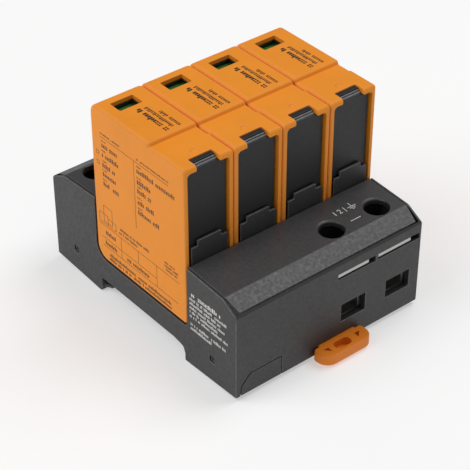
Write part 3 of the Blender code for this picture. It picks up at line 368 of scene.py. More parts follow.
def prism(name, points, plane, start, end):
    """A flat outline in a plane, drawn out from start to end along the third axis."""
    shape = bmesh.new()
    low = [shape.verts.new(on_plane(plane, u, v, start)) for u, v in points]
    high = [shape.verts.new(on_plane(plane, u, v, end)) for u, v in points]
    shape.faces.new(low)
    shape.faces.new(high)
    for index in range(len(points)):
        after = (index + 1) % len(points)
        shape.faces.new((low[index], low[after], high[after], high[index]))
    return outward(name, shape)


def block(name, x_range, y_range, z_range):
    return prism(name, rectangle(*x_range, *y_range), "XY", *z_range)


def turned(name, profile, centre, steps=72):
    """A turned shape from a profile of (radius, z), closed on the axis at both ends."""
    shape = bmesh.new()
    rings = []
    for radius, z in profile:
        if radius == 0.0:
            rings.append([shape.verts.new((centre[0], centre[1], z))])
            continue
        turn = [2 * math.pi * step / steps for step in range(steps)]
        rings.append([shape.verts.new((centre[0] + radius * math.cos(angle),
                                       centre[1] + radius * math.sin(angle), z))
                      for angle in turn])
    for first, second in zip(rings, rings[1:]):
        for step in range(steps):
            after = (step + 1) % steps
            corners = [first[step % len(first)], second[step % len(second)],
                       second[after % len(second)], first[after % len(first)]]
            shape.faces.new(list(dict.fromkeys(corners)))
    return outward(name, shape)


def evaluated_mesh(obj):
    graph = bpy.context.evaluated_depsgraph_get()
    return bpy.data.meshes.new_from_object(obj.evaluated_get(graph))


def apply_all(obj):
    """Turn an object with its modifiers into a plain mesh."""
    mesh = evaluated_mesh(obj)
    obj.modifiers.clear()
    old = obj.data
    obj.data = mesh
    bpy.data.meshes.remove(old)
    return obj


def bevel(obj, width, segments=2, angle=35.0, weight=None):
    """Round the edges sharper than angle, or those that weight gives a share of the width. The
    faces of the rounding are marked for a painted highlight along the edges.
    """
    edge = obj.modifiers.new("edge", "BEVEL")
    edge.width = width
    edge.segments = segments
    edge.limit_method = "WEIGHT" if weight else "ANGLE"
    edge.angle_limit = math.radians(angle)
    edge.use_clamp_overlap = False
    edge.material = 1
    for slot in (0, 1):
        obj.data.materials.append(None)
    if weight:
        shares = obj.data.attributes.new("bevel_weight_edge", "FLOAT", "EDGE")
        for each in obj.data.edges:
            ends = [obj.data.vertices[index].co for index in each.vertices]
            shares.data[each.index].value = weight(*ends)
    apply_all(obj)
    if weight:
        obj.data.attributes.remove(obj.data.attributes["bevel_weight_edge"])
    # The rounding's faces get a mark, which the materials lighten as a painted edge highlight
    mark = obj.data.attributes.get("highlight_edge")
    if mark is None:
        mark = obj.data.attributes.new("highlight_edge", "FLOAT", "FACE")
    for polygon in obj.data.polygons:
        if polygon.material_index == 1:
            mark.data[polygon.index].value = 1.0
            polygon.material_index = 0
    obj.data.materials.clear()
    return obj


def flat_regions(shape):
    """The number of the flat region that each face belongs to, and each region's area."""
    region, areas = {}, []
    for face in shape.faces:
        if face in region:
            continue
        region[face] = len(areas)
        waiting, area = [face], 0.0
        while waiting:
            here = waiting.pop()
            area += here.calc_area()
            for other in {other for edge in here.edges for other in edge.link_faces}:
                if other not in region and other.normal.dot(face.normal) > FLAT:
                    region[other] = len(areas)
                    waiting.append(other)
        areas.append(area)
    return region, areas


def shaded(obj):
    """Smooth shading in which each vertex leans to the largest flat region that it touches."""
    mesh = obj.data
    mesh.shade_smooth()
    mesh.set_sharp_from_angle(angle=SHARP)
    shape = bmesh.new()
    shape.from_mesh(mesh)
    region, areas = flat_regions(shape)
    least = math.cos(SHARP)
    normals = []
    for face in shape.faces:
        for vertex in face.verts:
            near = {region[other]: other.normal for other in vertex.link_faces
                    if other.normal.dot(face.normal) > least}
            total = sum((normal * areas[number] ** 2 for number, normal in near.items()),
                        Vector())
            normals.append((total if total.length > 0 else face.normal).normalized())
    shape.free()
    mesh.normals_split_custom_set(normals)
    return obj


def cut(body, solids):
    """Cut solids from a body, and remove them."""
    for solid in solids:
        step = body.modifiers.new(solid.name, "BOOLEAN")
        step.operation = "DIFFERENCE"
        step.solver = "EXACT"
        step.object = solid
    apply_all(body)
    for solid in solids:
        bpy.data.objects.remove(solid)
    return body


def tidied(obj, flat=0.5):
    """Merge doubles and take out the edges that lie within flat faces."""
    shape = bmesh.new()
    shape.from_mesh(obj.data)
    bmesh.ops.remove_doubles(shape, verts=shape.verts, dist=MERGE)
    bmesh.ops.dissolve_limit(shape, angle_limit=math.radians(flat), verts=shape.verts,
                             edges=shape.edges, use_dissolve_boundaries=False)
    shape.to_mesh(obj.data)
    shape.free()
    return obj


def softened(node, width):
    """A copy of a CAD node, in millimetres, with its flat faces merged and its edges rounded.

    Where three roundings meet, a corner can overshoot, so none is left outside the node's box.
    """
    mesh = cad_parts[node].data.copy()
    mesh.transform(TO_FRAME.inverted())
    mesh.materials.clear()
    made = linked(node + "_copy", mesh)
    bevel(tidied(made), width)
    low, high = reach(node)
    for vertex in made.data.vertices:
        vertex.co = [min(max(part, least), most)
                     for part, least, most in zip(vertex.co, low, high)]
    return shaded(made)


def joined(name, pieces):
    """One object from several, in the order given."""
    shape = bmesh.new()
    for piece in pieces:
        shape.from_mesh(piece.data)
        bpy.data.objects.remove(piece)
    return from_bmesh(name, shape)


def placed(obj, name, body, look, stands_for=(), shift=(0, 0, 0)):
    """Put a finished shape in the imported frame, with its material, and let it ride on a body."""
    obj.name = name
    obj.data.name = name
    obj.data.transform(TO_FRAME @ Matrix.Translation(shift))
    obj.data.materials.clear()
    obj.data.materials.append(finish(look))
    for polygon in obj.data.polygons:
        polygon.material_index = 0
    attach(obj, body)
    if stands_for:
        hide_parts(*stands_for)


def renewed(node, name, body, look, width=None):
    """Put a softened copy of a CAD node in its place."""
    copy = softened(node, width or sizes().fine_edge / MM)
    placed(copy, name, body, look, [node])


def repaint(node, look):
    """Give a CAD node that stays as it is a better material."""
    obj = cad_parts[node]
    if not obj.material_slots:
        obj.data.materials.append(None)
    for each in obj.material_slots:
        each.material = finish(look)


# Materials

class Tree:
    """A node tree with a short way to add a node and set or link its inputs."""

    def feed(self, socket, value):
        if isinstance(value, bpy.types.NodeSocket):
            self.tree.links.new(value, socket)
        else:
            socket.default_value = value

    def add(self, kind, inputs=None, **settings):
        node = self.tree.nodes.new(kind)
        for key, value in settings.items():
            setattr(node, key, value)
        for key, value in (inputs or {}).items():
            self.feed(node.inputs[key], value)
        return node


class Nodes(Tree):
    """A material's node tree, with the patterns and sums that the materials use."""

    def __init__(self, name):
        self.material = bpy.data.materials.new(name)
        self.material.use_nodes = True
        self.tree = self.material.node_tree
        self.shader = self.tree.nodes["Principled BSDF"]
        self.place = self.tree.nodes.new("ShaderNodeTexCoord").outputs["Object"]

    def noise(self, size, detail=2.0, roughness=0.5, stretch=(1, 1, 1)):
        """Noise whose features are about size metres across, from 0 to 1."""
        mapping = self.add("ShaderNodeMapping", {"Vector": self.place, "Scale": stretch})
        return self.add("ShaderNodeTexNoise", {
            "Vector": mapping.outputs["Vector"], "Scale": 1.0 / size, "Detail": detail,
            "Roughness": roughness}).outputs["Fac"]

    def spread(self, value, low, high, start=0.3, end=0.7):
        return self.add("ShaderNodeMapRange", {
            "Value": value, "From Min": start, "From Max": end, "To Min": low,
            "To Max": high}).outputs["Result"]

    def math(self, operation, first, second):
        return self.add("ShaderNodeMath", {0: first, 1: second},
                        operation=operation).outputs["Value"]

    def mix(self, factor, first, second):
        return self.add("ShaderNodeMix", {0: factor, 6: first, 7: second},
                        data_type="RGBA").outputs[2]

    def blend(self, first, share, second, other_share):
        """A weighted sum of two values."""
        return self.math("ADD", self.math("MULTIPLY", first, share),
                         self.math("MULTIPLY", second, other_share))

    def to_shader(self, socket, value):
        self.feed(self.shader.inputs[socket], value)

    def bump(self, height, distance, strength):
        node = self.add("ShaderNodeBump", {"Height": height, "Distance": distance,
                                           "Strength": strength})
        self.to_shader("Normal", node.outputs["Normal"])

    def done(self, colour):
        """The material, with its plain colour for the viewport."""
        self.material.diffuse_color = full(colour)
        return self.material


def full(colour, times=1.0):
    return (*[min(1.0, part * times) for part in colour], 1.0)


def moulded(name, colour, grain, rough, bump, shade, speckle=0.0, edge_highlight=0.0, specular=0.5):
    """Moulded plastic: fine grain, faint flow in the colour, and rounded edges lightened as a
    painted highlight.
    """
    nodes = Nodes(name)
    fine = nodes.noise(grain, 3.0, 0.6)
    coarse = nodes.noise(grain * COARSER)
    flow = nodes.noise(FLOW, 2.0, 0.55, (1.0, 1.0, 0.6))
    paint = nodes.mix(nodes.spread(flow, 0.0, 1.0), full(colour, 1 - shade),
                      full(colour, 1 + shade))
    if speckle:
        flecks = nodes.spread(fine, 0.0, speckle, 0.5, 0.75)
        paint = nodes.mix(flecks, paint, full(colour, FLECK))
    # Painted highlight: the marked rounded edges are mixed towards white
    if edge_highlight:
        edge = nodes.add("ShaderNodeAttribute", attribute_name="highlight_edge").outputs["Fac"]
        highlight = nodes.math("MULTIPLY", edge, nodes.spread(coarse, 0.4 * edge_highlight, edge_highlight))
        paint = nodes.mix(highlight, paint, full([part + (1 - part) * PAINTED_HIGHLIGHT for part in colour]))
    nodes.to_shader("Base Color", paint)
    nodes.to_shader("Roughness", nodes.spread(coarse, *rough))
    nodes.to_shader("Specular IOR Level", specular)
    nodes.bump(nodes.blend(fine, 0.6, coarse, 0.4), bump * MM, 0.7)
    return nodes.done(colour)


def metal(name, colour, rough, brushed=(1, 1, 1)):
    """Plated metal: brushed lines, dull patches and fine pits."""
    nodes = Nodes(name)
    lines = nodes.noise(BRUSHING, 3.0, 0.6, brushed)
    patches = nodes.noise(PATCHES, 3.0, 0.6)
    pits = nodes.noise(PITS, 1.0)
    paint = nodes.mix(nodes.spread(patches, 0.0, 1.0), full(colour, 1 - STAIN), full(colour))
    nodes.to_shader("Base Color", paint)
    nodes.to_shader("Metallic", 1.0)
    nodes.to_shader("Roughness", nodes.spread(nodes.blend(lines, 0.6, patches, 0.4), *rough))
    nodes.bump(nodes.math("ADD", lines, nodes.math("MULTIPLY", pits, 0.4)), 0.004 * MM, 0.5)
    return nodes.done(colour)


def ink(name, colour):
    """Pad print: matt, a little thin in places."""
    nodes = Nodes(name)
    thin = nodes.noise(THIN_INK, 3.0, 0.6)
    nodes.to_shader("Base Color", nodes.mix(nodes.spread(thin, 0.0, 1.0, 0.35, 0.65),
                                            full(colour, 0.85), full(colour, 1.15)))
    nodes.to_shader("Roughness", nodes.spread(thin, 0.5, 0.7))
    nodes.bump(thin, 0.003 * MM, 0.5)
    return nodes.done(colour)


@cache
def finish(name):
    """A material by name, made when it is first asked for.

    A plastic gives its grain, roughness, bump in millimetres, shade, speckle, painted edge
    highlight and specular.
    """
    paint, grain = colours(), sizes().grain
    make, *values = {
        "housing": (moulded, "black_housing_grain", paint.housing, grain, (0.44, 0.58),
                    0.024, 0.06, 0.35, 0.9, 0.52),
        "cover": (moulded, "black_cover_grain", paint.housing, grain, (0.40, 0.56),
                  0.040, 0.06, 0.60, 0.9, 0.74),
        "panel": (moulded, "black_panel_satin", paint.panel, grain * 0.8, (0.38, 0.5),
                  0.008, 0.05, 0.0, 0.3, 0.35),
        # Painted sheen: the grip ribs are many times lighter than the panel plastic
        "scuffed": (moulded, "black_panel_scuffed", [part * RIB_SHEEN for part in paint.panel],
                    grain, (0.3, 0.5), 0.03, 0.1, 0.8, 0.0, 0.7),
        "cap": (moulded, "orange_cap_satin", paint.cap, grain, (0.44, 0.58),
                0.010, 0.03, 0.0, 0.25, 0.28),
        "foot": (moulded, "orange_foot_satin", paint.foot, grain, (0.42, 0.56),
                 0.012, 0.04, 0.0, 0.10, 0.35),
        "flag": (moulded, "green_flag_matt", paint.flag, grain, (0.5, 0.6), 0.006, 0.06),
        "coating": (moulded, "varistor_dip", paint.coating, DIP_GRAIN, (0.3, 0.5), 0.03, 0.12),
        "zinc": (metal, "zinc_plate_dull", (0.58, 0.58, 0.56), (0.30, 0.5)),
        "tin": (metal, "tin_plate_brushed", (0.52, 0.52, 0.50), (0.28, 0.45), (1, 0.15, 0.15)),
        "dark_ink": (ink, "ink_dark", paint.dark_ink),
        "light_ink": (ink, "ink_light", paint.light_ink),
    }[name]
    return make(*values)


# Geometry Nodes

class Growth(Tree):
    """A Geometry Nodes tree with named inputs, and the steps that its users share."""

    def __init__(self, name, inputs):
        self.tree = bpy.data.node_groups.new(name, "GeometryNodeTree")
        self.tree.interface.new_socket("Geometry", in_out="OUTPUT",
                                       socket_type="NodeSocketGeometry")
        self.names = {}
        for label, kind in inputs.items():
            socket = self.tree.interface.new_socket(label, in_out="INPUT",
                                                    socket_type="NodeSocket" + kind)
            self.names[label] = socket.identifier
        self.inputs = self.tree.nodes.new("NodeGroupInput").outputs
        self.end = self.tree.nodes.new("NodeGroupOutput")

    def vector(self, x=0.0, y=0.0, z=0.0):
        return self.add("ShaderNodeCombineXYZ", {"X": x, "Y": y, "Z": z}).outputs[0]

    def together(self, pieces):
        node = self.tree.nodes.new("GeometryNodeJoinGeometry")
        for piece in pieces:
            self.tree.links.new(piece, node.inputs[0])
        return node.outputs[0]

    def bar(self, width, height, middle):
        """A bar of a mark, in a cell one wide and one high that stands on its baseline."""
        cube = self.add("GeometryNodeMeshCube", {"Size": self.vector(width, height, 1.0)})
        return self.add("GeometryNodeTransform", {
            "Geometry": cube.outputs["Mesh"],
            "Translation": (0.0, middle, 0.0)}).outputs["Geometry"]

    def close(self, geometry):
        """Ends the tree in Realize Instances and Set Material."""
        real = self.add("GeometryNodeRealizeInstances", {"Geometry": geometry})
        painted = self.add("GeometryNodeSetMaterial", {
            "Geometry": real.outputs["Geometry"], "Material": self.inputs["Material"]})
        self.tree.links.new(painted.outputs["Geometry"], self.end.inputs["Geometry"])

    def grown(self, name, values):
        """A plain mesh object from this tree with these inputs."""
        made = linked(name, bpy.data.meshes.new(name))
        modifier = made.modifiers.new("growth", "NODES")
        modifier.node_group = self.tree
        for label, value in values.items():
            modifier[self.names[label]] = value
        return apply_all(made)


@cache
def mark_row_tree():
    """A row of print along X: stems, short stems and pairs of dashes, with gaps as spaces."""
    growth = Growth("mark_row", {
        "Count": "Int", "Pitch": "Float", "Height": "Float", "Thickness": "Float",
        "Weight": "Float", "Seed": "Int", "Space seed": "Int", "Material": "Material"})
    inputs = growth.inputs
    line = growth.add("GeometryNodeMeshLine", {
        "Count": inputs["Count"], "Offset": growth.vector(inputs["Pitch"])})
    marks = [growth.bar(inputs["Weight"], high, high / 2) for high in (STEM, SHORT_STEM)]
    marks.append(growth.together([
        growth.bar(DASH, DASH_HIGH, middle) for middle in DASH_MIDDLES]))
    choice = growth.together([
        growth.add("GeometryNodeGeometryToInstance", {0: mark}).outputs[0] for mark in marks])
    which = growth.add("FunctionNodeRandomValue", {4: 0, 5: len(marks) - 1,
                                                   "Seed": inputs["Seed"]}, data_type="INT")
    kept = growth.add("FunctionNodeRandomValue", {6: MARKS_KEPT, "Seed": inputs["Space seed"]},
                      data_type="BOOLEAN")
    many = growth.add("GeometryNodeInstanceOnPoints", {
        "Points": line.outputs["Mesh"], "Selection": kept.outputs[3], "Instance": choice,
        "Pick Instance": True, "Instance Index": which.outputs[2],
        "Scale": growth.vector(inputs["Pitch"], inputs["Height"], inputs["Thickness"])})
    growth.close(many.outputs["Instances"])
    return growth


@cache
def rib_tree():
    """Even ribs up a slope along Y, each a round bar that runs along X."""
    growth = Growth("grip_ribs", {"Count": "Int", "Pitch": "Float", "Radius": "Float",
                                  "Length": "Float", "Material": "Material"})
    inputs = growth.inputs
    line = growth.add("GeometryNodeMeshLine", {
        "Count": inputs["Count"], "Offset": growth.vector(0.0, inputs["Pitch"])})
    bar = growth.add("GeometryNodeMeshCylinder", {
        "Vertices": 12, "Radius": inputs["Radius"], "Depth": inputs["Length"]})
    laid = growth.add("GeometryNodeTransform", {
        "Geometry": bar.outputs["Mesh"], "Rotation": (0.0, math.pi / 2, 0.0)})
    many = growth.add("GeometryNodeInstanceOnPoints", {
        "Points": line.outputs["Mesh"], "Instance": laid.outputs["Geometry"]})
    growth.close(many.outputs["Instances"])
    return growth


@cache
def thread_tree():
    """A screw thread: a pointed ridge that follows a helix about Z."""
    growth = Growth("screw_thread", {"Radius": "Float", "Turns": "Float", "Length": "Float",
                                     "Ridge": "Float", "Material": "Material"})
    inputs = growth.inputs
    helix = growth.add("GeometryNodeCurveSpiral", {
        "Resolution": 32, "Rotations": inputs["Turns"], "Start Radius": inputs["Radius"],
        "End Radius": inputs["Radius"], "Height": inputs["Length"]})
    ridge = growth.add("GeometryNodeCurvePrimitiveCircle", {"Resolution": 3,
                                                            "Radius": inputs["Ridge"]})
    swept = growth.add("GeometryNodeCurveToMesh", {
        "Curve": helix.outputs["Curve"], "Profile Curve": ridge.outputs["Curve"],
        "Fill Caps": True})
    growth.close(swept.outputs["Mesh"])
    return growth


# Print

SIDE = Matrix(((0, 0, -1, 0), (-1, 0, 0, 0), (0, 1, 0, 0), (0, 0, 0, 1)))
TOP = Matrix(((0, -1, 0, 0), (1, 0, 0, 0), (0, 0, 1, 0), (0, 0, 0, 1)))


def at(place, facing):
    return Matrix.Translation(place) @ facing


def words(place, facing, length, height, seed, weight=PLAIN):
    """A row of plain marks, its middle line at place, that runs for length."""
    count = max(1, round(length / (CELL * height)))
    step = length / count
    row = mark_row_tree().grown("words", {
        "Count": count, "Pitch": step, "Height": height, "Thickness": 2 * sizes().ink / MM,
        "Weight": weight, "Seed": seed, "Space seed": seed + SPACE_SEED,
        "Material": finish("dark_ink")})
    row.data.transform(at(place, facing) @ Matrix.Translation((step / 2, -height / 2, 0)))
    return row


def stroke(place, facing, start, end, width):
    """A straight printed line between two points of a print's own plane."""
    start, end = Vector(start), Vector(end)
    along = end - start
    half = along.length / 2 + width / 2
    proud = sizes().ink / MM
    line = block("stroke", (-half, half), (-width / 2, width / 2), (-proud, proud))
    middle = (start + end) / 2
    line.data.transform(at(place, facing) @ Matrix.Translation((*middle, 0))
                        @ Matrix.Rotation(math.atan2(along.y, along.x), 4, "Z"))
    return line


def numeral(place, facing, text, height):
    """A plain number as raised print, its middle at place."""
    curve = bpy.data.curves.new("numeral", "FONT")
    curve.body = text
    curve.size = height * TYPE_SIZE
    curve.align_x = "CENTER"
    curve.align_y = "CENTER"
    curve.extrude = sizes().ink / MM
    curve.resolution_u = 4
    drawn = linked("numeral", curve)
    made = tidied(linked("numeral", evaluated_mesh(drawn)))
    bpy.data.objects.remove(drawn)
    made.data.transform(at(place, facing))
    return made


# Pieces

class ARRESTER_OT_base(bpy.types.Operator):
    """Base housing with soft edges and grained black plastic"""
    bl_idname = "arrester.base"
    bl_label = "Base"

    def execute(self, context):
        renewed("base_housing", "base_shell", "base", "housing",
                sizes().base_edge / MM)
        return {"FINISHED"}


def shoulder_height(y):
    """Height of a tower's shoulder or slope at y from its face."""
    if y < SHOULDER_IN:
        return FACE_TOP + (SHOULDER_TOP - FACE_TOP) * y / SHOULDER_IN
    rise, run = SLOPE_TOP - SHOULDER_TOP, SLOPE_END - SHOULDER_IN
    return SHOULDER_TOP + rise * (y - SHOULDER_IN) / run


def cover_shape(name, middles):
    """A terminal cover in the front tower: slope, shoulder, tapered ends and screw holes."""
    low, high = reach("front_terminal_cover")
    shape = rounded([
        (low.y, low.z), (low.y, shoulder_height(low.y)),
        (SHOULDER_IN, SHOULDER_TOP, SHOULDER_ROUND), (high.y, high.z), (high.y, high.z - COVER),
        (SHOULDER_IN + COVER_KNEE, SHOULDER_TOP - COVER)], steps=12)
    cover = prism(name, shape, "YZ", low.x, high.x)
    beyond = GAP * (SHOULDER_IN - low.y) / END_TAPER
    cuts = []
    for edge, sign in ((low.x, 1), (high.x, -1)):
        taper = [(edge - sign * GAP, SHOULDER_IN + beyond), (edge - sign * GAP, low.y - beyond),
                 (edge + sign * (END_TAPER + GAP), low.y - beyond)]
        cuts.append(prism("taper", taper, "XY", low.z - BEYOND, high.z + BEYOND))
    top = shoulder_height(HOLE_IN)
    rim = [(HOLE + out, top + up) for out, up in HOLE_RIM]
    floor = low.z - 2 * BEYOND
    well = [(0.0, floor), (HOLE, floor), *rim, (0.0, rim[-1][1])]
    cuts += [turned("hole", well, (x, HOLE_IN)) for x in middles]
    cut(cover, cuts)
    return shaded(bevel(tidied(cover, flat=0.2), sizes().fine_edge / MM, angle=40))


class ARRESTER_OT_covers(bpy.types.Operator):
    """Front and rear terminal covers and the blank in the signal port"""
    bl_idname = "arrester.covers"
    bl_label = "Covers"

    def execute(self, context):
        middles = [(pole + 0.5) * PITCH for pole in range(POLES)]
        covers = {"front": cover_shape("front", middles[2:]),
                  "rear": cover_shape("rear", middles)}
        turn = Matrix.Rotation(math.pi, 4, "Z")
        turn.translation = (PITCH * POLES, LENGTH, 0.0)
        covers["rear"].data.transform(turn)
        for end, cover in covers.items():
            placed(cover, end + "_cover_shell", "base", "cover",
                   [end + "_terminal_cover"])
        renewed("signal_port_blank", "signal_port_blank_shell", "base", "housing")
        return {"FINISHED"}


class ARRESTER_OT_rail_foot(bpy.types.Operator):
    """Orange rail foot: rounded pull handle, shank and nose"""
    bl_idname = "arrester.rail_foot"
    bl_label = "Rail foot"

    def execute(self, context):
        renewed("rail_foot", "rail_foot_shell", "rail_foot", "foot")
        return {"FINISHED"}


def screw_shape(name):
    """A terminal screw at its place: turned body, cross recess and cut thread."""
    low, high = reach("terminal_screw_" + name)
    middle = ((low.x + high.x) / 2, (low.y + high.y) / 2)
    top, foot = high.z, low.z
    under = top - HEAD_HEIGHT
    core = SHANK - THREAD_DEPTH
    body = turned("screw", [
        (0.0, top), *[(HEAD + out, top + up) for out, up in HEAD_RIM],
        (HEAD, under + HEAD_CHAMFER), (HEAD - HEAD_CHAMFER, under), (core, under),
        (core, foot + TIP_CHAMFER), (core - TIP_CHAMFER, foot), (0.0, foot)], middle, steps=64)
    cuts = []
    for quarter in (0, 1):
        bar = block("bar", (-RECESS_ARM, RECESS_ARM), (-RECESS_HALF, RECESS_HALF),
                    (top - RECESS, top + BEYOND))
        angle = CLAMPS.index(name) * SCREW_TURN + quarter * math.pi / 2
        bar.data.transform(Matrix.Translation((*middle, 0)) @ Matrix.Rotation(angle, 4, "Z"))
        cuts.append(bar)
    cut(body, cuts)
    shaded(bevel(tidied(body, flat=0.2), SCREW_EDGE, angle=50))
    pitch = sizes().thread / MM
    length = under - foot - 2 * pitch
    thread = thread_tree().grown("thread", {
        "Radius": core + THREAD_STAND, "Turns": length / pitch, "Length": length,
        "Ridge": THREAD_RIDGE, "Material": finish("zinc")})
    thread.data.transform(Matrix.Translation((*middle, foot + pitch)))
    return joined("screw", [body, thread])


class ARRESTER_OT_clamps(bpy.types.Operator):
    """Terminal screws with cut threads, and box clamps"""
    bl_idname = "arrester.clamps"
    bl_label = "Clamps"

    def execute(self, context):
        for name in CLAMPS:
            cage, screw = "clamp_cage_" + name, "terminal_screw_" + name
            renewed(cage, "clamp_%s_shell" % name, cage, "zinc",
                    STEEL_EDGE)
            placed(screw_shape(name), screw + "_cut", screw, "zinc",
                   [screw])
        return {"FINISHED"}


class ARRESTER_OT_contacts(bpy.types.Operator):
    """Tinned busbar, contacts and plug blades"""
    bl_idname = "arrester.contacts"
    bl_label = "Contacts"

    def execute(self, context):
        renewed("earth_busbar", "earth_busbar_strip", "base", "tin")
        for pole in range(POLES):
            repaint("earth_contact_%d" % (pole + 1), "tin")
            repaint("line_contact_" + LINES[pole], "tin")
            for end in ("front", "rear"):
                repaint("module_%d_blade_%s" % (pole + 1, end), "tin")
        return {"FINISHED"}


def cap_shape():
    """Orange module cap at pole one: side plates, stepped top, window, notch and dimple."""
    low, high = reach("module_1_cap")
    inner_low, inner_high = reach("module_1_insert")
    front, rear, top = low.y, high.y, high.z
    step, crease = front + STEP_IN, front + CREASE_IN
    drop = top - STEP_DROP
    lip = drop + CREASE_RISE
    profile = rounded([
        (front, low.z, PLATE_FRONT_ROUND), (rear, low.z, PLATE_REAR_ROUND),
        (rear, top, CAP_REAR_ROUND), (step, top, STEP_ROUND),
        (step - STEP_RUN, drop, STEP_FOOT_ROUND), (crease + CREASE_RUN, drop), (crease, lip),
        (front, lip, CAP_FRONT_ROUND)], steps=12)
    cap = prism("cap", profile, "YZ", low.x, high.x)

    def share(start, end):
        """Outer edges round off fully, but the upright front ones less."""
        if abs(start.x - end.x) > 0.001:
            return 0.0
        climb = min(1.0, max(0.0, ((start.y + end.y) / 2 - front) / CAP_FRONT_ROUND))
        return FRONT_SHARE + (1.0 - FRONT_SHARE) * climb

    bevel(cap, sizes().cap_edge / MM, segments=6, weight=share)
    left, right = low.x + CAP_WALL, high.x - CAP_WALL
    ceiling = top - CAP_CEILING
    opening = rounded([(left, 0.0), (right, 0.0), (right, ceiling, OPENING_ROUND),
                       (left, ceiling, OPENING_ROUND)])
    notch = rectangle(*NOTCH, 0.0, front + NOTCH_DEPTH, NOTCH_ROUND, steps=6)
    window_rear = rear - WINDOW_REAR
    window_front = window_rear - WINDOW_LENGTH
    window = rectangle(*WINDOW, window_front, window_rear, WINDOW_ROUND, steps=4)
    bowl = [(out * DIMPLE, lip + up) for out, up in DIMPLE_BOWL]
    cut(cap, [
        prism("cavity", opening, "XZ", 0.0, rear - CAP_REAR_WALL),
        block("below", (left, right), (rear - CAP_REAR_WALL - GAP, LENGTH), (0.0, SOCKET_TOP)),
        prism("notch", notch, "XY", ceiling - 2 * GAP, top + GAP),
        prism("window", window, "XY", ceiling - GAP, top + GAP),
        turned("dimple", [*bowl, (0.0, bowl[-1][1])],
               ((low.x + high.x) / 2, front + DIMPLE_IN), steps=40),
    ])
    bevel(tidied(cap, flat=0.3), sizes().cut_edge / MM, segments=3, angle=38)
    room = block("roof_room", (inner_low.x + ROOF_INSET, inner_high.x - ROOF_INSET),
                 (window_front - ROOF_BORDER - GAP, inner_high.y - ROOF_INSET),
                 (ceiling - BEYOND, top - WINDOW_LIP))
    return shaded(cut(cap, [room]))


class ARRESTER_OT_caps(bpy.types.Operator):
    """Orange caps of the four plug-in modules"""
    bl_idname = "arrester.caps"
    bl_label = "Caps"

    def execute(self, context):
        cap = cap_shape()
        for pole in range(POLES):
            name = "module_%d" % (pole + 1)
            placed(linked(name + "_shell", cap.data.copy()), name + "_cap_shell", name, "cap",
                   [name + "_cap"], (pole * PITCH, 0, 0))
        bpy.data.objects.remove(cap)
        return {"FINISHED"}


class ARRESTER_OT_inserts(bpy.types.Operator):
    """Black module inserts with a ribbed grip tab, and what they carry"""
    bl_idname = "arrester.inserts"
    bl_label = "Inserts"

    def execute(self, context):
        for pole in range(POLES):
            name = "module_%d" % (pole + 1)
            renewed(name + "_insert", name + "_insert_shell", name, "panel")
            # The ribs get a lighter plastic as a painted sheen
            placed(self.ribs(pole), name + "_grip_ribs", name, "scuffed")
            placed(self.tab_root(pole), name + "_tab_root", name, "panel")
            repaint(name + "_varistor", "coating")
            repaint(name + "_flag", "flag")
        return {"FINISHED"}

    def tab_root(self, pole):
        """The insert's plastic between its grip tab and the rear of the cap's notch."""
        insert, cap = reach("module_1_insert")[0], reach("module_1_cap")
        lip = cap[1].z - STEP_DROP + CREASE_RISE
        root = block("root", TAB, (insert.y + TAB_SLOPE[0], cap[0].y + NOTCH_DEPTH - TAB_GAP),
                     (cap[1].z - CAP_CEILING - 2 * GAP, lip - GAP))
        root.data.transform(Matrix.Translation((pole * PITCH, 0, 0)))
        return shaded(bevel(root, sizes().fine_edge / MM))

    def ribs(self, pole):
        """Two long ribs up the slope of the grip tab."""
        low, high = reach("module_%d_insert" % (pole + 1))
        run, rise = TAB_SLOPE
        slope = math.hypot(run, rise)
        ribs = rib_tree().grown("ribs", {
            "Count": RIBS, "Pitch": slope * RIB_PITCH, "Radius": RIB_RADIUS,
            "Length": TAB[1] - TAB[0] - GAP, "Material": finish("panel")})
        middle = pole * PITCH + (TAB[0] + TAB[1]) / 2
        ribs.data.transform(
            Matrix.Translation((middle, low.y, high.z - rise))
            @ Matrix.Rotation(math.atan2(rise, run), 4, "X")
            @ Matrix.Translation((0.0, slope * RIB_START, RIB_RISE)))
        return shaded(ribs)


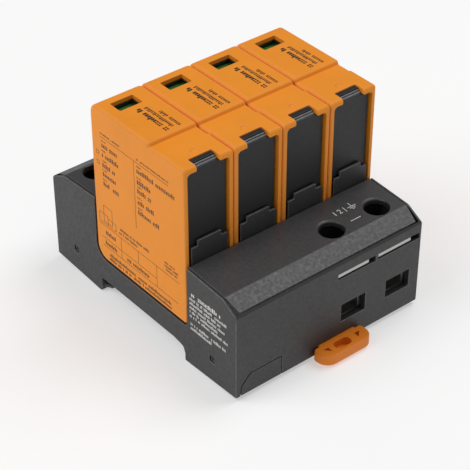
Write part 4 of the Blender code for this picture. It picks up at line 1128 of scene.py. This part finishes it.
class ARRESTER_OT_prints(bpy.types.Operator):
    """Plain print: rows of marks, table lines and the earth sign"""
    bl_idname = "arrester.prints"
    bl_label = "Prints"

    def execute(self, context):
        for pole in range(POLES):
            self.cap_top(pole)
        self.rating_table()
        self.base_side()
        self.base_top()
        return {"FINISHED"}

    def cap_top(self, pole):
        top = reach("module_1_cap")[1].z
        rows = [words((pole * PITCH + x, TOP_ROWS_START, top), TOP, length, height, seed, weight)
                for x, length, height, seed, weight in TOP_ROWS]
        module = "module_%d" % (pole + 1)
        placed(joined("print", rows), module + "_top_print", module, "dark_ink")

    def rating_table(self):
        """Rows, rules and small boxes on the left plate of the first module."""
        x = reach("module_1_cap")[0].x

        def row(y, z, length, height, seed):
            return words((x, y, z), SIDE, length, height, seed)

        def rule(start, end, width=RULE):
            return stroke((x, LENGTH, 0.0), SIDE, (LENGTH - start[0], start[1]),
                          (LENGTH - end[0], end[1]), width)

        def boxed(y_ends, z_ends, width):
            (rear, front), (low, high) = y_ends, z_ends
            corners = [(rear, low), (front, low), (front, high), (rear, high)]
            return [rule(corners[index - 1], corners[index], width) for index in range(4)]

        marks = [row(*each) for each in HEAD_ROWS]
        marks += [rule(*ends) for ends in HEAD_RULES]
        for index, (y, z, length) in enumerate(VALUE_ROWS):
            marks.append(row(y, z, length, VALUE_HEIGHT, VALUE_SEED + index))
            marks.append(row(y, z + LABEL_RISE, LABEL_LENGTH, LABEL_HEIGHT, LABEL_SEED + index))
        for z in TICK_ROWS:
            marks += boxed(TICK_SPAN, (z - TICK_HALF, z + TICK_HALF), TICK_RULE)
        marks += [rule(*ends) for ends in FOOT_RULES]
        for y_ends, z_ends in HOUSE_BOXES:
            marks += boxed(y_ends, z_ends, BOX_RULE)
        marks += [row(*each) for each in FOOT_ROWS]
        placed(joined("print", marks), "module_1_rating_print", "module_1", "dark_ink")

    def base_side(self):
        """Rows of light print on the left side of the front tower."""
        rows = [words((0.0, y, z), SIDE, length, height, seed, weight)
                for y, z, length, height, seed, weight in BASE_ROWS]
        placed(joined("print", rows), "base_side_print", "base", "light_ink")

    def base_top(self):
        """Earth sign and plain marks between the two front screw holes."""
        fall = math.atan2(SLOPE_TOP - SHOULDER_TOP, SLOPE_END - SHOULDER_IN)
        facing = Matrix.Rotation(fall, 4, "X")

        def spot(x, y):
            return (x, y, shoulder_height(y))

        marks = [numeral(spot(x, SIGN_ROW), facing, text, NUMERAL_HEIGHT)
                 for x, text in NUMERALS]
        marks.append(stroke(spot(BAR_X, SIGN_ROW), facing, *BAR_ENDS, SIGN_RULE))
        marks += [stroke(spot(SIGN_X, SIGN_ROW), facing, *ends, SIGN_RULE)
                  for ends in EARTH_SIGN]
        marks.append(stroke(spot(*LINK_MARK), facing, *LINK_ENDS, LINK_RULE))
        placed(joined("print", marks), "base_top_print", "base", "light_ink")


# Stage

def area(name, place, size, power):
    """A round soft light that points at the object."""
    light = bpy.data.lights.new(name, "AREA")
    light.shape = "DISK"
    light.size = size
    light.energy = power
    made = linked(name, light)
    made.location = place
    made.rotation_mode = "QUATERNION"
    made.rotation_quaternion = (Vector(LIGHTS_AIM) - Vector(place)).to_track_quat("-Z", "Y")


class ARRESTER_OT_stage(bpy.types.Operator):
    """Pale floor, soft studio light and the camera"""
    bl_idname = "arrester.stage"
    bl_label = "Stage"

    def execute(self, context):
        scene = context.scene
        scene.view_settings.view_transform = "Standard"
        self.floor()
        self.lights(scene)
        self.camera(scene)
        return {"FINISHED"}

    def floor(self):
        half = FLOOR_HALF
        shape = bmesh.new()
        corners = [(-half, -half), (half, -half), (half, half), (-half, half)]
        shape.faces.new([shape.verts.new((x, y, -FLOOR_DROP)) for x, y in corners])
        floor = outward("floor", shape)
        nodes = Nodes("pale_floor")
        soft = nodes.noise(FLOOR_PATTERN)
        nodes.to_shader("Base Color", nodes.mix(soft, *[full([tone] * 3) for tone in FLOOR_TONES]))
        nodes.to_shader("Roughness", 0.8)
        nodes.to_shader("Specular IOR Level", 0.2)
        nodes.to_shader("Emission Color", WHITE)
        nodes.to_shader("Emission Strength", FLOOR_GLOW)
        floor.data.materials.append(nodes.material)

    def lights(self, scene):
        world = bpy.data.worlds.new("studio")
        world.use_nodes = True
        back = world.node_tree.nodes["Background"]
        back.inputs["Color"].default_value = WHITE
        back.inputs["Strength"].default_value = SKY
        scene.world = world
        for light in LIGHTS:
            area(*light)

    def camera(self, scene):
        """The plain camera that fits the photograph best."""
        turn, fall = CAMERA_TURN, CAMERA_FALL
        ahead = Vector((math.sin(turn) * math.cos(fall), math.cos(turn) * math.cos(fall),
                        -math.sin(fall)))
        right = Vector((math.cos(turn), -math.sin(turn), 0.0))
        up = right.cross(ahead)
        data = bpy.data.cameras.new("camera")
        data.sensor_width = FILM
        data.lens = FILM * FOCAL_LENGTH / PICTURE
        data.clip_start, data.clip_end = 0.01, 20.0
        camera = linked("camera", data)
        place = (TO_FRAME @ Vector(CAMERA_AIM) - ahead * sizes().distance
                 + right * CAMERA_SIDE * MM + up * CAMERA_UP * MM)
        turned_to = Matrix((right, up, -ahead)).transposed().to_4x4()
        camera.matrix_world = Matrix.Translation(place) @ turned_to
        scene.camera = camera


class ARRESTER_PT_panel(bpy.types.Panel):
    """Colours, sizes and steps of the surge arrester"""
    bl_idname = "ARRESTER_PT_panel"
    bl_label = "Surge arrester"
    bl_space_type = "VIEW_3D"
    bl_region_type = "UI"
    bl_category = "Arrester"

    def draw(self, context):
        for title, group in (("Colours", context.scene.arrester_colours),
                             ("Sizes", context.scene.arrester_sizes)):
            rows = self.layout.box()
            rows.label(text=title)
            for key in group.__annotations__:
                rows.prop(group, key)
        for operator in OPERATORS:
            self.layout.operator(operator.bl_idname)


OPERATORS = (
    ARRESTER_OT_base,
    ARRESTER_OT_covers,
    ARRESTER_OT_rail_foot,
    ARRESTER_OT_clamps,
    ARRESTER_OT_contacts,
    ARRESTER_OT_caps,
    ARRESTER_OT_inserts,
    ARRESTER_OT_prints,
    ARRESTER_OT_stage,
)
CLASSES = (ArresterColours, ArresterSizes, *OPERATORS, ARRESTER_PT_panel)


def register():
    for each in CLASSES:
        bpy.utils.register_class(each)
    bpy.types.Scene.arrester_colours = bpy.props.PointerProperty(type=ArresterColours)
    bpy.types.Scene.arrester_sizes = bpy.props.PointerProperty(type=ArresterSizes)


def unregister():
    del bpy.types.Scene.arrester_sizes
    del bpy.types.Scene.arrester_colours
    for each in reversed(CLASSES):
        bpy.utils.unregister_class(each)


def main():
    register()
    bpy.ops.arrester.base()
    bpy.ops.arrester.covers()
    bpy.ops.arrester.rail_foot()
    bpy.ops.arrester.clamps()
    bpy.ops.arrester.contacts()
    bpy.ops.arrester.caps()
    bpy.ops.arrester.inserts()
    bpy.ops.arrester.prints()
    bpy.ops.arrester.stage()


if __name__ == "__main__":
    main()
